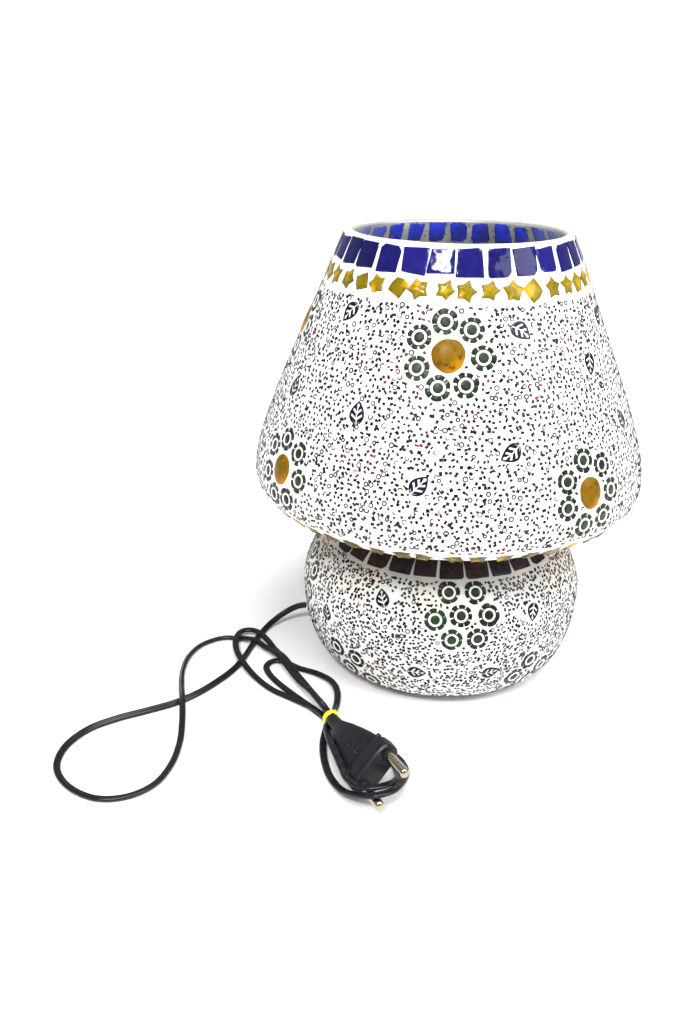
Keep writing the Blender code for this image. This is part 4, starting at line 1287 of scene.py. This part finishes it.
def scatter(name, low, high, red_share, paint, pitch=CHIP_PITCH):
    """Chips, short bugle beads and seed rings on a loose grid between two lengths along."""
    chips, seeds = Pieces(), Pieces()
    for number, row in enumerate(np.arange(low, high, pitch * 0.88)):
        count = round(2 * math.pi * radius_at(row) / pitch)
        for k in range(count):
            along = row + rng.uniform(-0.31, 0.31) * pitch
            turn = (k + number % 2 / 2 + rng.uniform(-0.33, 0.33)) * 2 * math.pi / count
            if not low < along < high or rng.random() < 0.06 or not is_clear(turn, along, 0.75 * MM):
                continue
            add_chip(chips, seeds, turn, along, red_share)
    chips.make(name + "_chips", paint, smooth=False)
    seeds.make(name + "_seed_beads", paint)


def add_chip(chips, seeds, turn, along, red_share):
    """One chip, bugle bead or seed ring; red ones are commonest in front."""
    place = patch(turn, along, rng.uniform(0, math.pi))
    kind = rng.random()
    drift = 1 + math.sin(9 * turn + along / (7 * MM))
    front = max(0.0, math.cos(turn)) * drift
    tones = RED_TONES if kind > 0.14 and rng.random() < red_share * (0.3 + 0.7 * front) else CHIP_TONES
    tone = np.array(tones[rng.integers(len(tones))]) * rng.uniform(0.7, 1.5)
    if kind < 0.14:
        radius, arc = rng.uniform(0.8, 1.15) * MM, 6.283 if kind < 0.07 else rng.uniform(2.6, 5.0)
        ring_bead(seeds, place, radius, rng.uniform(0.26, 0.38) * MM, 0.04 * MM, tone * 0.8, 12, 5, arc)
        return
    long = rng.uniform(1.5, 2.25) * MM if kind < 0.5 else rng.uniform(1.2, 1.7) * MM
    wide = rng.uniform(1.05, 1.6) * MM
    corners = np.array([(-0.5, -0.5), (0.5, -0.5), (0.5, 0.5), (-0.5, 0.5)]) * (wide, long)
    corners += rng.uniform(-0.2, 0.2, (4, 2)) * MM
    levels = block_levels(rng.uniform(0.08, 0.22) * MM, 0.06 * MM, 0.6 * MM, 0.03 * MM)
    mound(chips, place, corners, levels, tone)


def chips_and_beads():
    paint = glass_piece("chip_glass", 0.25, 900.0, 0.05 * MM)
    scatter("shade", LOW_STAR_ALONG + 5.6 * MM, HIGH_STAR_ALONG - 5.9 * MM, 0.10, paint)
    scatter("pot", 1.0 * MM, NECK_TILES[0] - 0.8 * MM, 0.05, paint, POT_CHIP_PITCH)
    scatter("underside", NECK_TILES[1] + 9 * MM, LOW_STAR_ALONG - 6.5 * MM, 0.05, paint)


# ---------------------------------------------------------------- backs of the tiles, seen through the glass
def tile_backs():
    """Blotchy blue backs of the rim tiles on the inside of the coat, painted bright: painted light, for light
    shining through the tiles from outside.
    """
    pieces = Pieces()
    low, high, count = RIM_TILES
    for i in range(count):
        turn = 2 * math.pi * (i + 0.5) / count
        rim = jittered_tile(10.2 * MM, (high - low) * rng.uniform(0.86, 0.98), 0.9 * MM)
        uneven = 1 + 0.05 * np.sin(np.arange(len(rim)) * 2.3 + i)
        rim = rim * uneven[:, None]
        place = patch(turn, (low + high) / 2)
        points = place(rim[:, 0], rim[:, 1], -COAT - 0.1 * MM)
        deeper = place(rim[:, 0] * 0.97, rim[:, 1] * 0.97, -COAT - 0.2 * MM)
        middle = place(np.array([0.0]), np.array([0.0]), -COAT - 0.2 * MM)
        n = len(rim)
        faces = grid_faces(2, n) + [(n + j, n + (j + 1) % n, 2 * n) for j in range(n)]
        # Painted light: the backs are far brighter than the same tiles' fronts, standing for light shining
        # through them.
        tone = np.array((0.018, 0.040, 0.80)) * rng.uniform(0.85, 1.15)
        pieces.add(np.concatenate([points, deeper, middle]), faces, tone)
    deep_blue = (0.012, 0.020, 0.40)
    paint = glass_piece("tile_back_glass_painted_light", 0.5, 300.0, 0.2 * MM, spot=deep_blue, spot_scale=130.0)
    pieces.make("tile_backs", paint)


# ---------------------------------------------------------------- clamp, holder and bulb
def repaint(node, paint):
    """Gives a CAD node that stays in view a finish of its own."""
    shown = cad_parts[node]
    shown.data.materials.clear()
    shown.data.materials.append(paint)


def spring_tongue(brass):
    """The sprung centre contact: a copy of the CAD's tongue, finished in brass."""
    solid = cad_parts["contact_tongue"]
    mesh = solid.data.copy()
    mesh.transform(solid.matrix_world)
    mesh.materials.clear()
    made = add_object("spring_tongue", mesh, brass, body=None, smooth=False)
    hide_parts("contact_tongue")
    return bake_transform(made)


def thread(depth, pitch, start, end):
    """A ripple for a lathe: a round screw thread between two heights."""

    def ripple(radius, height, turns):
        wave = 0.5 * np.cos(2 * math.pi * (height / pitch) - turns[None, :]) - 0.5
        ends = np.clip((height - start) / pitch, 0, 1) * np.clip((end - height) / pitch, 0, 1)
        return radius + depth * wave * ends, height

    return ripple


def bulb_parts():
    aluminium = worn("cap_aluminium", (0.78, 0.78, 0.76), 0.28, 1.0, spread=0.08)
    low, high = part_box("bulb_cap")[0].z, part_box("bulb_cap")[1].z
    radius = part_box("bulb_cap")[1].x
    rows = np.linspace(low, high, 70)
    outline = [(radius - 0.5 * MM, low), *[(radius, z) for z in rows], (radius - 0.5 * MM, high)]
    cap = lathe("cap_thread", outline, aluminium, BULB, 72, thread(0.7 * MM, 3.6 * MM, low, high - 1 * MM))
    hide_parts("bulb_cap")

    tip_low, tip_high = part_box("bulb_tip")[0].z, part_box("bulb_tip")[1].z
    insulator = worn("tip_glass", (0.02, 0.02, 0.022), 0.25)
    seat = tip_low + 0.9 * MM
    cone = [(0, seat), (4.9 * MM, seat), (8.4 * MM, tip_low + 1.6 * MM), (11.8 * MM, tip_high)]
    tip = lathe("tip_insulator", [*cone, (0, tip_high)], insulator, BULB, 64)
    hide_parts("bulb_tip")
    lead = worn("tip_solder", (0.62, 0.62, 0.60), 0.35, 1.0)
    button = [(0, tip_low), (2.6 * MM, tip_low + 0.1 * MM), (3.9 * MM, tip_low + 0.5 * MM)]
    lathe("tip_contact", [*button, (4.6 * MM, seat), (0, seat)], lead, BULB, 48)

    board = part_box("bulb_housing")[1].z
    neck = high + 0.3 * MM
    white = worn("housing_plastic", (0.84, 0.84, 0.82), 0.4, spread=0.05)
    flare = [(14.2 * MM, neck), (14.4 * MM, neck + 3 * MM)]
    for t in np.linspace(0, 1, 14):
        ease = t * t * (3 - 2 * t)
        widening = (27.3 - 14.6) * MM * (0.75 * t + 0.25 * ease)
        flare.append((14.6 * MM + widening, neck + 3.6 * MM + (board - neck - 3.6 * MM) * t))
    top = [(25.6 * MM, board), (24.2 * MM, board - 3 * MM), (0, board - 3 * MM)]
    spigot = [(0, neck - 6 * MM), (12 * MM, neck - 6 * MM), (12 * MM, neck)]
    housing = lathe("bulb_body", [*spigot, *flare, *top], white, BULB, 96)
    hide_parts("bulb_housing")

    opal = Paint("opal_dome", 0.45, Subsurface_Weight=0.35, Transmission_Weight=0.15)
    opal.into(opal.ramp(opal.noise(25.0), (0.3, (0.88, 0.88, 0.86)), (0.7, (0.93, 0.93, 0.92))), "Base Color")
    opal.bump((opal.noise(1500.0, 1.0), 0.01 * MM))
    top_height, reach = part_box("bulb_dome")[1].z, 30.0 * MM
    centre = board + 18 * MM
    skin = 1.2 * MM
    outside, inside = [], []
    for t in np.linspace(-0.62, math.pi / 2, 34):
        outside.append((reach * math.cos(t), centre + (top_height - centre) * math.sin(t)))
        inside.append(((reach - skin) * math.cos(t), centre + (top_height - skin - centre) * math.sin(t)))
    outside[0], inside[0] = (27.2 * MM, board + GAP), (25.8 * MM, board + GAP)
    outside[-1], inside[-1] = (0, top_height), (0, top_height - skin)
    dome = lathe("opal_dome", [*inside[::-1], *outside], opal.material, BULB, 96)
    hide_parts("bulb_dome")
    repaint("led_board", worn("board_white", (0.78, 0.80, 0.76), 0.5, spread=0.1))


def holder_parts():
    phenolic = worn("phenolic_black", (0.018, 0.017, 0.017), 0.32)
    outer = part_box("holder_shell")[1].x
    low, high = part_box("holder_shell")[0].z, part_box("holder_shell")[1].z
    inner, root = 14.9 * MM, outer - 2.4 * MM
    outline = [(root, low), (outer, low), (outer, low + 3 * MM)]
    groove = outer - 0.5 * MM
    for k in range(5):
        start = low + (5 + k * 4) * MM
        outline += [(outer, start), (groove, start + 0.4 * MM)]
        outline += [(groove, start + 1.4 * MM), (outer, start + 1.8 * MM)]
    outline += [(outer, high - 5 * MM), (outer - 0.6 * MM, high - 2 * MM)]
    outline += [(outer - 1.6 * MM, high - 0.5 * MM), (root, high), (inner + 0.8 * MM, high)]
    outline += [(inner, high - 0.8 * MM), (inner, 41 * MM), (root, 41 * MM)]
    shell = lathe("holder_ring", outline, phenolic, LAMP, 96)
    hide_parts("holder_shell")
    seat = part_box("holder_cap")[0].z
    thread_radius = outer - 2.7 * MM
    bore = thread_radius - 1.4 * MM
    cap_outline = [(5.3 * MM, seat), (11 * MM, seat), (12.5 * MM, seat + 0.5 * MM)]
    cap_outline += [(outer - 0.6 * MM, seat + 8 * MM), (outer, seat + 9.4 * MM)]
    cap_outline += [(outer, 33.6 * MM), (outer - 0.4 * MM, 34 * MM)]
    cap_outline += [(thread_radius, 34 * MM), (thread_radius, 40 * MM), (bore, 40 * MM)]
    cap_outline += [(bore, seat + 9 * MM), (10 * MM, seat + 3 * MM), (5.3 * MM, seat + 3 * MM)]
    cap = lathe("holder_cup", cap_outline, phenolic, LAMP, 96)
    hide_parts("holder_cap")

    brass = worn("contact_brass", (0.66, 0.47, 0.17), 0.26, 1.0, spread=0.18)
    zinc = worn("zinc_steel", (0.58, 0.57, 0.55), 0.34, 1.0, spread=0.15)
    rubber = worn("washer_rubber", (0.03, 0.03, 0.03), 0.7)
    steatite = worn("steatite", (0.80, 0.77, 0.70), 0.5, spread=0.08)
    felt = worn("black_felt", (0.022, 0.022, 0.024), 0.95, grain=2600.0, height=0.2 * MM, Sheen_Weight=0.3)
    spring_tongue(brass)
    for node in ("side_contact", "terminal_screw_1", "terminal_screw_2"):
        repaint(node, brass)
    for node in ("clamp_washer", "locknut"):
        repaint(node, zinc)
    repaint("seat_washer", rubber)
    repaint("holder_insert", steatite)
    repaint("inner_lead", CORD_BLACK)
    repaint("felt_base_pad", felt)
    sleeve_low, sleeve_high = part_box("screw_sleeve")[0].z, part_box("screw_sleeve")[1].z
    rows = np.linspace(sleeve_low, sleeve_high, 80)
    sleeve_outline = [*[(14.3 * MM, z) for z in rows], *[(13.9 * MM, z) for z in rows[::-1]]]
    ripple = thread(0.5 * MM, 3.6 * MM, sleeve_low, sleeve_high)
    sleeve = lathe("thread_sleeve", sleeve_outline, brass, LAMP, 72, ripple)
    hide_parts("screw_sleeve")
    nipple_low, nipple_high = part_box("threaded_nipple")[0].z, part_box("threaded_nipple")[1].z
    rows = np.linspace(nipple_low, nipple_high, 120)
    nipple_outline = [*[(5.0 * MM, z) for z in rows], (3.5 * MM, nipple_high), (3.5 * MM, nipple_low)]
    # The thread is cut through at both ends, so it starts and ends far beyond them.
    ripple = thread(0.3 * MM, 1.0 * MM, nipple_low - 1, nipple_high + 1)
    nipple = lathe("nipple_thread", nipple_outline, zinc, LAMP, 48, ripple)
    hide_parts("threaded_nipple")


# ---------------------------------------------------------------- the room
def add_light(name, kind, where, power):
    """A light that looks at the middle of the lamp."""
    data = bpy.data.lights.new(name, kind)
    data.energy = power
    light = bpy.data.objects.new(name, data)
    bpy.context.scene.collection.objects.link(light)
    light.location = where
    light.rotation_euler = (Vector((0, 0, 0.12)) - Vector(where)).to_track_quat("-Z", "Y").to_euler()
    return data


def stage():
    paint = Paint("studio_floor", 0.75)
    white = paint.ramp(paint.noise(3.0, 2.0), (0.3, (0.89, 0.875, 0.87)), (0.7, (0.91, 0.895, 0.89)))
    paint.into(white, "Base Color")
    size = 12.0
    mesh = bpy.data.meshes.new("studio_floor")
    corners = [(-size, -size, 0), (size, -size, 0), (size, size, 0), (-size, size, 0)]
    mesh.from_pydata(corners, [], [(0, 1, 2, 3)])
    floor = add_object("studio_floor", mesh, paint.material, body=None, smooth=False)
    world = bpy.data.worlds.new("studio")
    bpy.context.scene.world = world
    world.use_nodes = True
    nodes, links = world.node_tree.nodes, world.node_tree.links
    seen, lit = nodes["Background"], nodes.new("ShaderNodeBackground")
    seen.inputs["Color"].default_value = (1.0, 1.0, 1.0, 1)
    seen.inputs["Strength"].default_value = 1.05
    lit.inputs["Color"].default_value = (0.98, 0.99, 1.0, 1)
    lit.inputs["Strength"].default_value = 0.37
    rays, either = nodes.new("ShaderNodeLightPath"), nodes.new("ShaderNodeMixShader")
    links.new(rays.outputs["Is Camera Ray"], either.inputs[0])
    links.new(lit.outputs[0], either.inputs[1])
    links.new(seen.outputs[0], either.inputs[2])
    links.new(either.outputs[0], nodes["World Output"].inputs["Surface"])
    sun = add_light("sky_panel", "SUN", (0.24, -0.28, 1.0), 3.0)
    sun.angle = math.radians(42)
    key = add_light("key", "AREA", (-0.24, -0.89, 1.01), 11.5)
    key.size = 0.24
    fill = add_light("fill", "AREA", (0.95, -0.45, 0.75), 6.5)
    fill.size = 0.6
    bpy.context.scene.view_settings.view_transform = "Standard"


wall()
bands()
decorations()
chips_and_beads()
tile_backs()
bulb_parts()
holder_parts()
stage()
